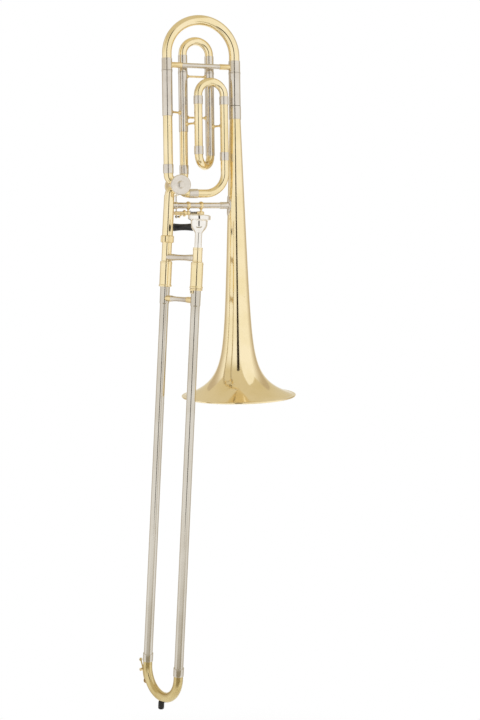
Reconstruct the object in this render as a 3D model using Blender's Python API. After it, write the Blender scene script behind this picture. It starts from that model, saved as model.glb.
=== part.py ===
# Tenor trombone with an F attachment, in metres.
# The origin is the centre of the bell's mouth, and the bell's axis runs up +Z.
# The gooseneck lies towards -X, and the front of the rotor faces -Y.
# The hand slide hangs beside the bell, from the foot of the neckpipe.
import math

import bmesh
import bpy
from mathutils import Matrix, Vector

# General fits
SEAT = 0.0003                    # gap left where two pieces touch
WALL = 0.0006                    # wall of every drawn tube
SOCKET_LAP = 0.010               # length of a tube inside the socket that holds it
FERRULE_WALL = 0.0006
BEAD = 0.0006                    # how far a mouth ring stands proud
BEAD_LENGTH = 0.002
PAST = 0.010                     # how far a cutter runs on past what it cuts
HUG_REACH = 0.03                 # half the length of the cutter that hollows a brace's foot

# Bell
BELL_MOUTH_RADIUS = 0.105
BELL_RIM_BEAD = 0.0017           # radius of the rolled rim
BELL_STEM_RADIUS = 0.0099        # where the stem enters its ferrule
BELL_STEM_TAPER = 0.034          # growth of the radius for each metre of stem
BELL_FLARE_LENGTH = 0.100        # length scale of the flare
BELL_FLARE_POWER = 4.2
BELL_FERRULE_BOTTOM = 0.508
BELL_FERRULE_LENGTH = 0.024
BELL_FERRULE_STEP = 0.0004       # how far it stands proud of its sleeve
BELL_STEM_LAP = 0.0185           # length of the stem inside its ferrule

# Main tuning slide
BOW_SPACING = 0.127              # gooseneck leg to bell leg
BOW_NECK_RADIUS = 0.0085
BOW_BELL_RADIUS = 0.00975
BOW_CENTRE_ABOVE_MOUTH = 0.0305
SLEEVE_MOUTH = 0.593             # height of the sleeves' open ends
TUNING_LEG_CLEARANCE = 0.0085    # above the end of the bell's stem, with the slide pushed in
TUNING_FERRULE_LENGTH = 0.0215
TUNING_BRACE_ABOVE_MOUTH = 0.0105
TUNING_BRACE_RADIUS = 0.0045
TUNING_BRACE_FOOT_RADIUS = 0.0051
TUNING_BRACE_FOOT = 0.018

# Gooseneck
NECK_SLEEVE_BOTTOM = 0.511
GOOSENECK_RADIUS = 0.0085
GOOSENECK_FERRULE_TOP = 0.424
FERRULE_LENGTH = 0.0165

# Rotor valve
ROTOR_X = -0.110
ROTOR_Z = 0.386
CASING_RADIUS = 0.018
CHAMBER_RADIUS = 0.016
CASING_FRONT = -0.0205           # casing ends, along Y
CASING_BACK = 0.0230
CAP_RADIUS = 0.0182
CAP_THICKNESS = 0.0040
CAP_DOME_RADIUS = 0.0070
CAP_DOME_HEIGHT = 0.0018
CAP_BEVEL = 0.0012
SPIGOT_LENGTH = 0.0027
SPINDLE_RADIUS = 0.0026
BEARING_BOSS_RADIUS = 0.0060
BEARING_BOSS_LENGTH = 0.0050
KNUCKLE_BEND = 0.014             # centreline radius of the casing's knuckles
KNUCKLE_RUN = 0.010              # straight part of each knuckle
KNUCKLE_REACH = 0.004            # how far each one runs on into the casing
PORT_PAST = 0.002                # how far a port's cutter starts outside its knuckle
UPPER_KNUCKLE_TURN = 40.0        # degrees that the gooseneck's and riser's knuckles bend
OUTLET_KNUCKLE_TURN = 35.0
NECK_KNUCKLE_TURN = 37.0
SCOOP_OFFSET = 0.017             # rotor axis to the axis of each passage
STOP_ARM_THICKNESS = 0.0028
STOP_ARM_WALL = 0.0022
STUD_THROW = 0.007               # rotor axis to the stud that the link turns
STUD_RADIUS = 0.0012
STUD_LENGTH = 0.0052
STUD_PAD_RADIUS = 0.0023
STOP_ARM_RADIUS = 0.0012

# F tubing
F_RADIUS = 0.0075
F_REAR_Y = 0.0145                # plane of the two rear legs
F_FRONT_Y = -0.012               # plane of the two front legs
F_RISER_X = -0.094
F_RETURN_X = -0.044
F_FRONT_LEFT_X = -0.073
F_FRONT_RIGHT_X = -0.0246
F_FERRULE_TOP = 0.424            # ferrule over the riser's knuckle
F_RISER_SLEEVE_BOTTOM = 0.4845
F_RETURN_SLEEVE_BOTTOM = 0.4416
F_LEG_CLEARANCE = 0.0110         # above the end of the riser, with the slide pushed in
F_LEG_FERRULE = 0.0308
F_BOW_CENTRE_ABOVE_MOUTH = 0.0332
F_FRONT_TOP = 0.5472             # top of the front legs
F_FRONT_RISE = 0.0020            # straight part of the front bow above each leg
F_LEFT_FERRULE = 0.0150
F_RIGHT_BOTTOM = 0.4310          # foot of the front right leg's ferrule
F_RETURN_BEND = 0.037
F_OUTLET_Z = 0.371               # height of the tube that returns to the rotor
F_OUTLET_X = -0.0845             # middle of its ferrule

# Wrap braces
WRAP_BRACE_RADIUS = 0.0019
WRAP_FOOT_RADIUS = 0.0042
WRAP_FOOT = 0.0012
BRACE_STEP = 0.0008              # length over which a brace narrows behind its foot
BRACE_BELOW_MOUTH = 0.0068       # brace of the F slide's sleeves
BRACE_NECK_Z = 0.5190
BRACE_REAR_Z = 0.5110
BRACE_LEFT_Z = 0.4985
BRACE_RIGHT_Z = 0.4950

# Bell brace and thumb lever
BELL_BRACE_Z = 0.350
BELL_BRACE_RADIUS = 0.0055
BELL_BRACE_SLEEVE_RADIUS = 0.0065
BELL_BRACE_SLEEVE_X = -0.031
BELL_BRACE_FOOT = 0.006
BELL_BRACE_STEP = 0.0005         # length of the step between bar and sleeve
BELL_BRACE_END = -0.006          # inside the stem, before the stem is cut away
SADDLE_HALF_HEIGHT = 0.0185
SADDLE_HALF_WIDTH = 0.0095
SADDLE_THICKNESS = 0.0012
SADDLE_BLANK = (-0.030, -0.004)  # along X, before it is cut to the stem's skin
POST_LEFT_X = -0.091
POST_RIGHT_X = -0.067
POST_WIDTH = 0.006
POST_WALL = 0.0018
POST_BOSS_RADIUS = 0.0036
POST_BOSS_PROUD = 0.00005
LEVER_DROP = 0.014               # bell brace to the lever's shaft
LEVER_SHAFT_RADIUS = 0.0016
LEVER_KNOB_RADIUS = 0.00375
LEVER_KNOB_END = -0.1173
LEVER_KNOB_RIBS = 5
LEVER_KNOB_GROOVE = 0.0005
LEVER_KNOB_LAND = 0.001          # plain stretch beside the crank
LEVER_KNOB_BEVEL = 0.0003
LEVER_HEAD_RADIUS = 0.0030
LEVER_HEAD = 0.0020
LEVER_TRAVEL = 15.0              # degrees at the thumb
ROTOR_TRAVEL = 90.0              # degrees at the rotor
LEVER_HUB_LENGTH = 0.0052
LEVER_HUB_RADIUS = 0.0034
LEVER_ARM_RADIUS = 0.0017
LEVER_ARM_ROOT = (-0.001, -0.0005)    # Y and Z from the shaft
LEVER_ARM_SHOULDER = (-0.010, -0.0065)
LEVER_ARM_SWEEP = (0.001, 0.006) # towards -X at the arm's middle and near its end
LEVER_ARM_HOLLOW = 0.003         # in front of the touch's end
LEVER_ARM_ELBOW = 0.0015         # beyond the touch's end
TOUCH_LENGTH = 0.036
TOUCH_RADIUS = 0.0072
TOUCH_WAIST = 0.0057
TOUCH_BEVEL = 0.001
TOUCH_LEFT = (-0.126, -0.0255, 0.310)
TOUCH_TURN = -20.0               # heading of the touch from +X, in degrees
TOUCH_SPINDLE = 0.022
CRANK_X = -0.0985                # plane of the crank arm
CRANK_THICKNESS = 0.0030
CRANK_HUB_RADIUS = 0.0062
CRANK_ARM_RADIUS = 0.0013
CRANK_PAD_RADIUS = 0.0025
CRANK_PIN_END = 0.0008           # pin beyond the link
LINK_THICKNESS = 0.0028
LINK_WALL = 0.0014
LINK_ROD_RADIUS = 0.0012
LINK_PIN_RADIUS = 0.0013
STUD_PLAY = 0.0016               # room for the stud's sideways swing in the link's eye

# Springs
LEVER_SPRING_WIRE = 0.00045
LEVER_SPRING_TURNS = 5
LEVER_SPRING_TAILS = (0.0052, 0.0045)
KEY_SPRING_WIRE = 0.00035
KEY_SPRING_TURNS = 1.7
KEY_SPRING_TAILS = (0.0070, 0.0050)
SPRING_POINTS = 9                # points for each turn

# Neckpipe and lock nut
NECK_TILT = 3.5                  # degrees between the bell's axis and the slide's
NECKPIPE_TOP_X = -0.125826       # axis at its upper end
NECKPIPE_TOP_DROP = 0.017946     # rotor's axis to its upper end
NECK_FOOT_Z = 0.290              # its axis at the lock nut
NECKPIPE_TOP_RADIUS = 0.00935
NECKPIPE_FOOT_RADIUS = 0.0098
NECKPIPE_BORE = 0.0083
NECKPIPE_FOOT_DROP = 0.0029      # its foot below the origin of the slide's frame
NECKPIPE_TAPER_END = 0.012       # height where its taper starts
TENON_LENGTH = 0.025
COLLAR_RADIUS = 0.0097
COLLAR_LENGTH = 0.0015
NUT_RADIUS = 0.0120
NUT_LENGTH = 0.0130
NUT_FLUTES = 8
NUT_FLUTE_DEPTH = 0.0007
NUT_FLANGE = 0.0020
NUT_BEVEL = 0.0012
NUT_BEVEL_LENGTH = 0.002
NUT_FLUTE_FLOOR = 0.0001         # the flutes stop this far outside the bore

# Hand slide, measured down from the lock nut
SLIDE_SPACING = 0.085
SLIDE_TURN = -64.5               # heading from neck tube to mouthpiece tube, in degrees
JOINT_TUBE_RADIUS = 0.0089
BARREL_TOP = -0.040
BARREL_LENGTH = 0.046
BARREL_RADIUS = 0.01075
BARREL_WALL = 0.0008
BARREL_LIP = 0.0010
BARREL_CAP = 0.0035
BARREL_BEVEL = 0.0005
BARREL_BEVEL_LENGTH = 0.001
BARREL_LIP_ENDS = (0.0040, 0.0025, 0.0008)    # heights where the lip starts, is full and ends
INNER_RADIUS = 0.0068
STOCKING_RADIUS = 0.0071
STOCKING_LENGTH = 0.080
STOCKING_TAPER = 0.003
INNER_WALL = 0.0005
INNER_FOOT_CLEARANCE = 0.0095    # above the crook, with the slide closed
RECEIVER_LENGTH = 0.025
RECEIVER_RADIUS = 0.0083
RECEIVER_RING_LENGTH = 0.0045
INNER_BRACE_Z = -0.0330
INNER_BRACE_RADIUS = 0.0063
INNER_BRACE_WAIST = 0.0052
INNER_BRACE_FOOT = 0.004
OUTER_WALL = 0.0005
OUTER_TOP = -0.060
OUTER_LENGTH = 0.6935
OUTER_SLEEVE_LENGTH = 0.055
OUTER_SLEEVE_RADIUS = 0.0087
OUTER_SLEEVE_TAPER = 0.002
OUTER_BRACE_Z = -0.1065
OUTER_BRACE_RADIUS = 0.0044
OUTER_BRACE_FOOT_RADIUS = 0.0055
OUTER_BRACE_FOOT = 0.022
CROOK_RADIUS = 0.0082
CROOK_STRAIGHT = 0.0155
CROOK_FERRULE = 0.0135
CROOK_LAP = 0.0090               # length of the crook inside its ferrule
BUMPER_RADIUS = 0.0052
BUMPER_LENGTH = 0.0135
BUMPER_BEVEL = 0.0010
BUMPER_BEVEL_LENGTH = 0.0015
BUMPER_CUFF = 0.0012             # part that reaches up round the crook
BUMPER_HUG = 40                  # degrees of the crook that the cuff is cut to
BUMPER_STUD_RADIUS = 0.0028
BUMPER_STUD_LENGTH = 0.0080
BUMPER_STUD_ROOT = 0.003         # part of the stud inside the crook
LOCK_RING_WIDTH = 0.0030
LOCK_RING_RADIUS = 0.0112
LOCK_TAB_DROP = 0.0052
LOCK_TAB_WIDTH = 0.0070
LOCK_TAB_INSET = 0.0002          # inside the ring's edge
LOCK_TAB_ROOT = 0.0015           # overlap with the ring, before the bore is cut
LOCK_TAB_STEP = 0.0005           # below the ring's top

# Water key, on the crook's outer side
KEY_PIVOT_TURN = 12.0            # degrees round the crook from its straight leg
KEY_NIPPLE_TURN = 33.0
KEY_PIVOT_HEIGHT = 0.0052        # pivot above the crook's skin
KEY_PIN_RADIUS = 0.0011
KEY_HUB_RADIUS = 0.0022
KEY_HUB_HALF = 0.0050
KEY_CHEEK = 0.0014
KEY_CHEEK_RADIUS = 0.0026
KEY_POST_WIDTH = 0.0032
KEY_POST_THICKNESS = 0.0009
KEY_POST_DEPTH = 0.0045          # how far each post runs into the crook
KEY_FOOT_RADIUS = 0.0022
KEY_FOOT_DEPTH = 0.0030
KEY_FOOT_LENGTH = 0.0016
KEY_NIPPLE_RADIUS = 0.0026
KEY_NIPPLE_BORE = 0.0012
KEY_NIPPLE_HEIGHT = 0.0020
KEY_NIPPLE_ROOT = 0.002          # part of the nipple inside the crook's skin
KEY_CORK_RADIUS = 0.0034
KEY_CORK_THICKNESS = 0.0016
KEY_CUP_RADIUS = 0.0042
KEY_CUP_THICKNESS = 0.0016
KEY_FINGER_LENGTH = 0.0155
KEY_FINGER_RISE = 0.0050
KEY_ARM_RADIUS = 0.0013
KEY_ARM_SINK = 0.0006            # its end below the cup's top
KEY_ARM_ARCH = 0.0012            # its rise between cup and hub
KEY_ARM_RISE = 0.0004            # above the pivot
KEY_TIP_RADIUS = 0.0030
KEY_TIP_THICKNESS = 0.0018

# Mouthpiece
MOUTHPIECE_RIM_RADIUS = 0.0197
MOUTHPIECE_RIM_HEIGHT = 0.0100
MOUTHPIECE_RIM_ROUND = 0.0024
MOUTHPIECE_CUP_OUTER = 0.0148
MOUTHPIECE_CUP_RADIUS = 0.0129
MOUTHPIECE_CUP_DEPTH = 0.0240
MOUTHPIECE_BOWL_DEPTH = 0.0320   # rim to where the bowl's outside meets the shank
MOUTHPIECE_SHOWN = 0.057         # rim to receiver
MOUTHPIECE_INSERTED = 0.025
MOUTHPIECE_WAIST_RADIUS = 0.0062
MOUTHPIECE_SHANK_RADIUS = 0.0062
MOUTHPIECE_END_RADIUS = 0.0056
MOUTHPIECE_END_WALL = 0.0008
MOUTHPIECE_THROAT_LENGTH = 0.012
MOUTHPIECE_THROAT = 0.0034

# Facets
BELL_SIDES = 32
BELL_STATIONS = 11
TUBE_SIDES = 14
F_SIDES = 12
ROTOR_SIDES = 20
ROD_SIDES = 10
FINE_SIDES = 8
BOW_STEPS = 10
F_BOW_STEPS = 7

# Places worked out from the dimensions above
NECK_X = -BOW_SPACING
LEVER_Z = BELL_BRACE_Z - LEVER_DROP
BELL_STEM_TOP = BELL_FERRULE_BOTTOM + BELL_STEM_LAP
TUNING_LEG_LENGTH = SLEEVE_MOUTH - BELL_STEM_TOP - TUNING_LEG_CLEARANCE
F_LEG_LENGTH = SLEEVE_MOUTH - F_RISER_SLEEVE_BOTTOM - SOCKET_LAP - F_LEG_CLEARANCE
NECKPIPE_TOP = (ROTOR_Z - NECKPIPE_TOP_DROP - NECK_FOOT_Z) / math.cos(math.radians(NECK_TILT))
NECK_FOOT_X = NECKPIPE_TOP_X - NECKPIPE_TOP * math.sin(math.radians(NECK_TILT))
CRANK_THROW = STUD_THROW * math.sin(math.radians(ROTOR_TRAVEL / 2)) / math.sin(
    math.radians(LEVER_TRAVEL / 2))
LINK_LENGTH = ROTOR_Z - LEVER_Z
LINK_Y = CRANK_THROW * math.cos(math.radians(LEVER_TRAVEL / 2))
LINK_X = ROTOR_X + STUD_THROW * (1 + math.cos(math.radians(ROTOR_TRAVEL / 2))) / 2
BARREL_FOOT = BARREL_TOP - BARREL_LENGTH
OUTER_FOOT = OUTER_TOP - OUTER_LENGTH
CROOK_TOP = OUTER_FOOT + CROOK_LAP
BEND_Z = CROOK_TOP - CROOK_STRAIGHT
INNER_TOP = BARREL_TOP + SOCKET_LAP
INNER_FOOT = CROOK_TOP + INNER_FOOT_CLEARANCE
BEND_RADIUS = SLIDE_SPACING / 2

UP = Vector((0, 0, 1))
DOWN = Vector((0, 0, -1))
RIGHT = Vector((1, 0, 0))
LEFT = Vector((-1, 0, 0))
ALONG_X = (0, math.pi / 2, 0)
ALONG_Y = (-math.pi / 2, 0, 0)


def clear_scene():
    for obj in list(bpy.data.objects):
        bpy.data.objects.remove(obj, do_unlink=True)


def metal(name, colour, roughness, metallic=1.0):
    made = bpy.data.materials.new(name)
    made.use_nodes = True
    shader = made.node_tree.nodes["Principled BSDF"]
    shader.inputs["Base Color"].default_value = (*colour, 1)
    shader.inputs["Roughness"].default_value = roughness
    shader.inputs["Metallic"].default_value = metallic
    made.diffuse_color = (*colour, 1)
    return made


def empty(name, parent=None, location=(0, 0, 0), rotation=(0, 0, 0)):
    made = bpy.data.objects.new(name, None)
    made.empty_display_size = 0.01
    bpy.context.scene.collection.objects.link(made)
    made.parent = parent
    made.location = location
    made.rotation_euler = rotation
    return made


def finish(name, bm, material, parent, location=(0, 0, 0), rotation=(0, 0, 0)):
    """Turns a bmesh into an object of the scene, with its normals outward."""
    bmesh.ops.remove_doubles(bm, verts=bm.verts, dist=1e-7)
    bmesh.ops.recalc_face_normals(bm, faces=bm.faces)
    mesh = bpy.data.meshes.new(name)
    bm.to_mesh(mesh)
    bm.free()
    mesh.materials.append(material)
    mesh.shade_smooth()
    mesh.set_sharp_from_angle(angle=math.radians(35))
    made = bpy.data.objects.new(name, mesh)
    bpy.context.scene.collection.objects.link(made)
    made.parent = parent
    made.location = location
    made.rotation_euler = rotation
    return made


def turned(name, outline, material, parent, location=(0, 0, 0), rotation=(0, 0, 0),
           sides=TUBE_SIDES, flutes=0, flute_depth=0.0, flutes_beyond=0.0):
    """Spins (radius, height) points about Z: a ring of them, or a chain that ends on the axis."""
    bm = bmesh.new()
    points = [bm.verts.new((radius, 0, height)) for radius, height in outline]
    pairs = list(zip(points, points[1:]))
    if outline[0][0] > 0:
        pairs.append((points[-1], points[0]))
    edges = [bm.edges.new(pair) for pair in pairs]
    bmesh.ops.spin(bm, geom=points + edges, cent=(0, 0, 0), axis=(0, 0, 1),
                   angle=2 * math.pi, steps=sides, use_merge=True)
    for vert in bm.verts if flutes else ():
        radius = math.hypot(vert.co.x, vert.co.y)
        if radius > flutes_beyond:
            turn = math.atan2(vert.co.y, vert.co.x)
            cut = flute_depth * (0.5 - 0.5 * math.cos(flutes * turn))
            vert.co.x *= 1 - cut / radius
            vert.co.y *= 1 - cut / radius
    return finish(name, bm, material, parent, location, rotation)


def pipe(outer, bore, low, high):
    """Outline of a plain tube."""
    return [(outer, high), (outer, low), (bore, low), (bore, high)]


def drum(radius, low, high):
    """Outline of a plain solid cylinder."""
    return [(0, high), (radius, high), (radius, low), (0, low)]


def begin(point, heading):
    return [(Vector(point), Vector(heading).normalized())]


def run(route, length):
    point, heading = route[-1]
    route.append((point + heading * length, heading))


def bend(route, towards, radius, degrees, steps):
    """Carries the route round an arc whose centre lies towards the given side."""
    start, heading = route[-1]
    side = Vector(towards).normalized()
    for step in range(1, steps + 1):
        turn = math.radians(degrees) * step / steps
        point = start + heading * radius * math.sin(turn) + side * radius * (1 - math.cos(turn))
        route.append((point, heading * math.cos(turn) + side * math.sin(turn)))


def through(points, steps=4):
    """A smooth route through a few points, as a Catmull-Rom curve."""
    knots = [Vector(p) for p in points]
    knots = [2 * knots[0] - knots[1]] + knots + [2 * knots[-1] - knots[-2]]
    route = []
    for i in range(1, len(knots) - 2):
        a, b, c, d = knots[i - 1:i + 3]
        last = i == len(knots) - 3
        for step in range(steps + last):
            t = step / steps
            point = 0.5 * (2 * b + (c - a) * t + (2 * a - 5 * b + 4 * c - d) * t ** 2
                           + (3 * b - a - 3 * c + d) * t ** 3)
            slope = 0.5 * ((c - a) + 2 * (2 * a - 5 * b + 4 * c - d) * t
                           + 3 * (3 * b - a - 3 * c + d) * t ** 2)
            route.append((point, slope.normalized()))
    return route


def rings(bm, route, radii, sides):
    """A ring of vertices round each station of the route, without twist between them."""
    side = route[0][1].orthogonal().normalized()
    made = []
    for i, (point, heading) in enumerate(route):
        if i:
            side.rotate(route[i - 1][1].rotation_difference(heading))
        across = heading.cross(side)
        ring = []
        for k in range(sides):
            turn = 2 * math.pi * k / sides
            ring.append(bm.verts.new(
                point + (side * math.cos(turn) + across * math.sin(turn)) * radii[i]))
        made.append(ring)
    return made


def skin(bm, made, closed):
    pairs = list(zip(made, made[1:]))
    if closed:
        pairs.append((made[-1], made[0]))
    for first, second in pairs:
        for k in range(len(first)):
            n = (k + 1) % len(first)
            bm.faces.new((first[k], first[n], second[n], second[k]))
    if not closed:
        bm.faces.new(made[0])
        bm.faces.new(made[-1])


def spread(radius, route):
    """One radius for each station: the same all along, or changing evenly between two."""
    if not isinstance(radius, tuple):
        return [radius] * len(route)
    lengths = [0.0]
    for (a, _), (b, _) in zip(route, route[1:]):
        lengths.append(lengths[-1] + (b - a).length)
    return [radius[0] + (radius[1] - radius[0]) * at / lengths[-1] for at in lengths]


def tube(name, route, radius, material, parent, wall=WALL, sides=F_SIDES):
    """Hollow tube, open at both ends."""
    bm = bmesh.new()
    outer = spread(radius, route)
    made = rings(bm, route, outer, sides)
    made += reversed(rings(bm, route, [r - wall for r in outer], sides))
    skin(bm, made, closed=True)
    return finish(name, bm, material, parent)


def rod(name, route, radius, material, parent, sides=ROD_SIDES):
    """Solid rod with flat ends."""
    bm = bmesh.new()
    skin(bm, rings(bm, route, spread(radius, route), sides), closed=False)
    return finish(name, bm, material, parent)


def block(name, low, high, material, parent):
    bm = bmesh.new()
    size = Vector(high) - Vector(low)
    middle = (Vector(high) + Vector(low)) / 2
    bmesh.ops.create_cube(bm, size=1, matrix=Matrix.LocRotScale(middle, None, size))
    return finish(name, bm, material, parent)


def bar(name, start, end, width, thickness, material, parent):
    """Flat bar between two points, thin along Y."""
    turn = UP.rotation_difference(end - start)
    size = Vector((width, thickness, (end - start).length))
    bm = bmesh.new()
    bmesh.ops.create_cube(bm, size=1, matrix=Matrix.LocRotScale((start + end) / 2, turn, size))
    return finish(name, bm, material, parent)


def combine(target, tool, operation):
    """Joins or cuts target with the tool, and removes the tool."""
    modifier = target.modifiers.new(operation.lower(), "BOOLEAN")
    modifier.operation = operation
    modifier.object = tool
    bpy.context.view_layer.update()
    graph = bpy.context.evaluated_depsgraph_get()
    mesh = bpy.data.meshes.new_from_object(target.evaluated_get(graph))
    target.modifiers.clear()
    target.data = mesh
    mesh.shade_smooth()
    mesh.set_sharp_from_angle(angle=math.radians(35))
    bpy.data.objects.remove(tool)


def add(target, *tools):
    for tool in tools:
        combine(target, tool, "UNION")


def cut(target, *tools):
    for tool in tools:
        combine(target, tool, "DIFFERENCE")


BRASS = metal("lacquered_brass", (0.80, 0.58, 0.22), 0.18)
NICKEL = metal("nickel_silver", (0.72, 0.68, 0.60), 0.22)
SILVER = metal("silver_plate", (0.90, 0.90, 0.88), 0.10)
STEEL = metal("spring_steel", (0.45, 0.44, 0.42), 0.30)
BLACK = metal("black_plastic", (0.02, 0.02, 0.02), 0.45, metallic=0.0)
RUBBER = metal("black_rubber", (0.025, 0.025, 0.025), 0.70, metallic=0.0)
CORK = metal("cork", (0.55, 0.38, 0.22), 0.90, metallic=0.0)


# Bell


def bell_radius(height):
    """Middle of the bell's wall: a conical stem, and a flare that dies away up the stem."""
    above = height - BELL_RIM_BEAD
    stem = BELL_STEM_RADIUS + BELL_STEM_TAPER * (BELL_FERRULE_BOTTOM - height)
    mouth_stem = BELL_STEM_RADIUS + BELL_STEM_TAPER * (BELL_FERRULE_BOTTOM - BELL_RIM_BEAD)
    flare = BELL_MOUTH_RADIUS - BELL_RIM_BEAD - mouth_stem
    return stem + flare * (BELL_FLARE_LENGTH / (BELL_FLARE_LENGTH + above)) ** BELL_FLARE_POWER


def bell_station(height):
    """Point on the middle of the wall, and the unit normal away from the air column."""
    step = 1e-5
    rise = Vector((bell_radius(height + step) - bell_radius(height), step)).normalized()
    return Vector((bell_radius(height), height)), Vector((rise.y, -rise.x))


def bell_wall(side):
    """Points on one skin of the bell, from the stem's top down to the rim."""
    points = []
    for i in range(BELL_STATIONS):
        share = 1 - i / (BELL_STATIONS - 0.4)
        height = BELL_RIM_BEAD + (BELL_STEM_TOP - BELL_RIM_BEAD) * share ** 2.6
        middle, normal = bell_station(height)
        points.append(tuple(middle + normal * side * WALL / 2))
    return points


def bell_rim():
    """The rolled bead, from the outer skin round to the inner one."""
    centre = bell_radius(BELL_RIM_BEAD)
    first, last, steps = 135, -170, 4
    points = []
    for i in range(steps + 1):
        turn = math.radians(first + (last - first) * i / steps)
        points.append((centre + BELL_RIM_BEAD * math.cos(turn),
                       BELL_RIM_BEAD + BELL_RIM_BEAD * math.sin(turn)))
    return points


def make_bell(parent):
    outline = bell_wall(1) + bell_rim() + bell_wall(-1)[::-1]
    turned("bell_flare", outline, BRASS, parent, sides=BELL_SIDES)


# Tuning slides


def sleeve(name, parent, x, y, low, high, leg_radius, held_radius, wall=WALL, lap=SOCKET_LAP,
           foot=0.0, foot_length=0.0, sides=TUBE_SIDES):
    """Outer sleeve of a slide: a socket for the tube below, a bore for the leg, a ringed mouth."""
    bore = leg_radius + SEAT
    socket = held_radius + SEAT
    outer = max(bore, socket) + wall - foot
    ring = outer + BEAD
    outline = [(outer, high - BEAD_LENGTH), (outer, low + foot_length)]
    if foot:
        outline += [(outer + foot, low + foot_length), (outer + foot, low)]
    outline += [(socket, low), (socket, low + lap), (bore, low + lap), (bore, high),
                (ring - BEAD / 3, high), (ring, high - BEAD_LENGTH / 3), (ring, high - BEAD_LENGTH)]
    return turned(name, outline, NICKEL, parent, (x, y, 0), sides=sides)


def slide_leg(name, parent, x, y, mouth, length, radius, ferrule, held_radius, sides=TUBE_SIDES):
    """Inner leg of a slide, with the ferrule that takes the end of its bow."""
    low = mouth + SEAT
    socket = held_radius + SEAT
    outer = socket + FERRULE_WALL
    ring = outer + BEAD / 2
    floor = low + ferrule - SOCKET_LAP - SEAT
    outline = [(outer, low + ferrule), (outer, low + BEAD_LENGTH), (ring, low + BEAD_LENGTH),
               (ring, low), (radius, low), (radius, mouth - length),
               (radius - WALL, mouth - length), (radius - WALL, floor), (socket, floor),
               (socket, low + ferrule)]
    return turned(name, outline, NICKEL, parent, (x, y, 0), sides=sides)


def brace(name, start, end, radius, foot_radius, foot, start_clear, end_clear, material, parent,
          start_axis=UP, end_axis=UP, waist=None, sides=ROD_SIDES):
    """Rod between two tubes' axes, cut back to their skins, with a foot that hugs each."""
    start, end = Vector(start), Vector(end)
    heading = (end - start).normalized()
    length = (end - start).length
    inner = start_clear + SEAT + foot
    outer = length - end_clear - SEAT - foot
    middle = [(inner + BRACE_STEP, radius)]
    if waist:
        middle += [((inner + outer) / 2, waist)]
    middle += [(outer - BRACE_STEP, radius)]
    profile = [(0, foot_radius), (inner, foot_radius)] + middle
    profile += [(outer, foot_radius), (length, foot_radius)]
    route = [(start + heading * along, heading) for along, _ in profile]
    bm = bmesh.new()
    skin(bm, rings(bm, route, [r for _, r in profile], sides), closed=False)
    made = finish(name, bm, material, parent)
    for centre, axis, clear in ((start, start_axis, start_clear), (end, end_axis, end_clear)):
        route = begin(centre - Vector(axis) * HUG_REACH, axis)
        run(route, 2 * HUG_REACH)
        cut(made, rod("clearance", route, clear + SEAT, material, parent, sides=2 * ROD_SIDES))
    return made


def make_tuning_slide(section, slide):
    neck_leg = BOW_NECK_RADIUS - 2 * SEAT / 3
    bell_leg = BOW_BELL_RADIUS - 2 * SEAT / 3
    sleeve("neck_tuning_sleeve", section, NECK_X, 0, NECK_SLEEVE_BOTTOM, SLEEVE_MOUTH,
           neck_leg, GOOSENECK_RADIUS)
    sleeve("bell_tuning_sleeve", section, 0, 0, BELL_FERRULE_BOTTOM, SLEEVE_MOUTH,
           bell_leg, BELL_STEM_RADIUS + WALL / 2, lap=BELL_STEM_TOP - BELL_FERRULE_BOTTOM + SEAT,
           foot=BELL_FERRULE_STEP, foot_length=BELL_FERRULE_LENGTH)
    for name, x, radius, held in (("tuning_leg_neck", NECK_X, neck_leg, BOW_NECK_RADIUS),
                                  ("tuning_leg_bell", 0, bell_leg, BOW_BELL_RADIUS)):
        slide_leg(name, slide, x, 0, SLEEVE_MOUTH, TUNING_LEG_LENGTH, radius,
                  TUNING_FERRULE_LENGTH, held)
    bow_end = SLEEVE_MOUTH + SEAT + TUNING_FERRULE_LENGTH - SOCKET_LAP
    route = begin((NECK_X, 0, bow_end), UP)
    run(route, SLEEVE_MOUTH + BOW_CENTRE_ABOVE_MOUTH - bow_end)
    bend(route, RIGHT, BOW_SPACING / 2, 180, BOW_STEPS)
    run(route, SLEEVE_MOUTH + BOW_CENTRE_ABOVE_MOUTH - bow_end)
    tube("tuning_bow", route, (BOW_NECK_RADIUS, BOW_BELL_RADIUS), BRASS, slide, sides=TUBE_SIDES)
    height = SLEEVE_MOUTH + TUNING_BRACE_ABOVE_MOUTH
    brace("tuning_brace", (NECK_X, 0, height), (0, 0, height), TUNING_BRACE_RADIUS,
          TUNING_BRACE_FOOT_RADIUS, TUNING_BRACE_FOOT,
          BOW_NECK_RADIUS + SEAT + FERRULE_WALL, BOW_BELL_RADIUS + SEAT + FERRULE_WALL,
          NICKEL, slide)


def make_gooseneck(section):
    top = NECK_SLEEVE_BOTTOM + SOCKET_LAP - SEAT
    middle = GOOSENECK_FERRULE_TOP - FERRULE_LENGTH / 2
    turned("gooseneck_tube", pipe(GOOSENECK_RADIUS, GOOSENECK_RADIUS - WALL, middle + SEAT, top),
           BRASS, section, (NECK_X, 0, 0))
    ferrule("gooseneck_ferrule", section, (NECK_X, 0, middle), GOOSENECK_RADIUS)


def ferrule(name, parent, centre, held_radius, rotation=(0, 0, 0), length=FERRULE_LENGTH):
    """Ring that holds two tube ends, chamfered at each edge."""
    bore = held_radius + SEAT
    outer = bore + FERRULE_WALL
    half = length / 2
    lip = BEAD_LENGTH / 2
    outline = [(outer, half - lip), (outer, lip - half), (outer - BEAD / 3, -half),
               (bore, -half), (bore, half), (outer - BEAD / 3, half)]
    return turned(name, outline, NICKEL, parent, centre, rotation, sides=F_SIDES)


# Rotor valve


def knuckle_route(start, heading, towards, degrees):
    """Straight out of the ferrule, then round to the casing and on into its chamber."""
    route = begin(start, heading)
    run(route, KNUCKLE_RUN)
    bend(route, towards, KNUCKLE_BEND, degrees, 3)
    run(route, KNUCKLE_REACH)
    return route


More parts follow.
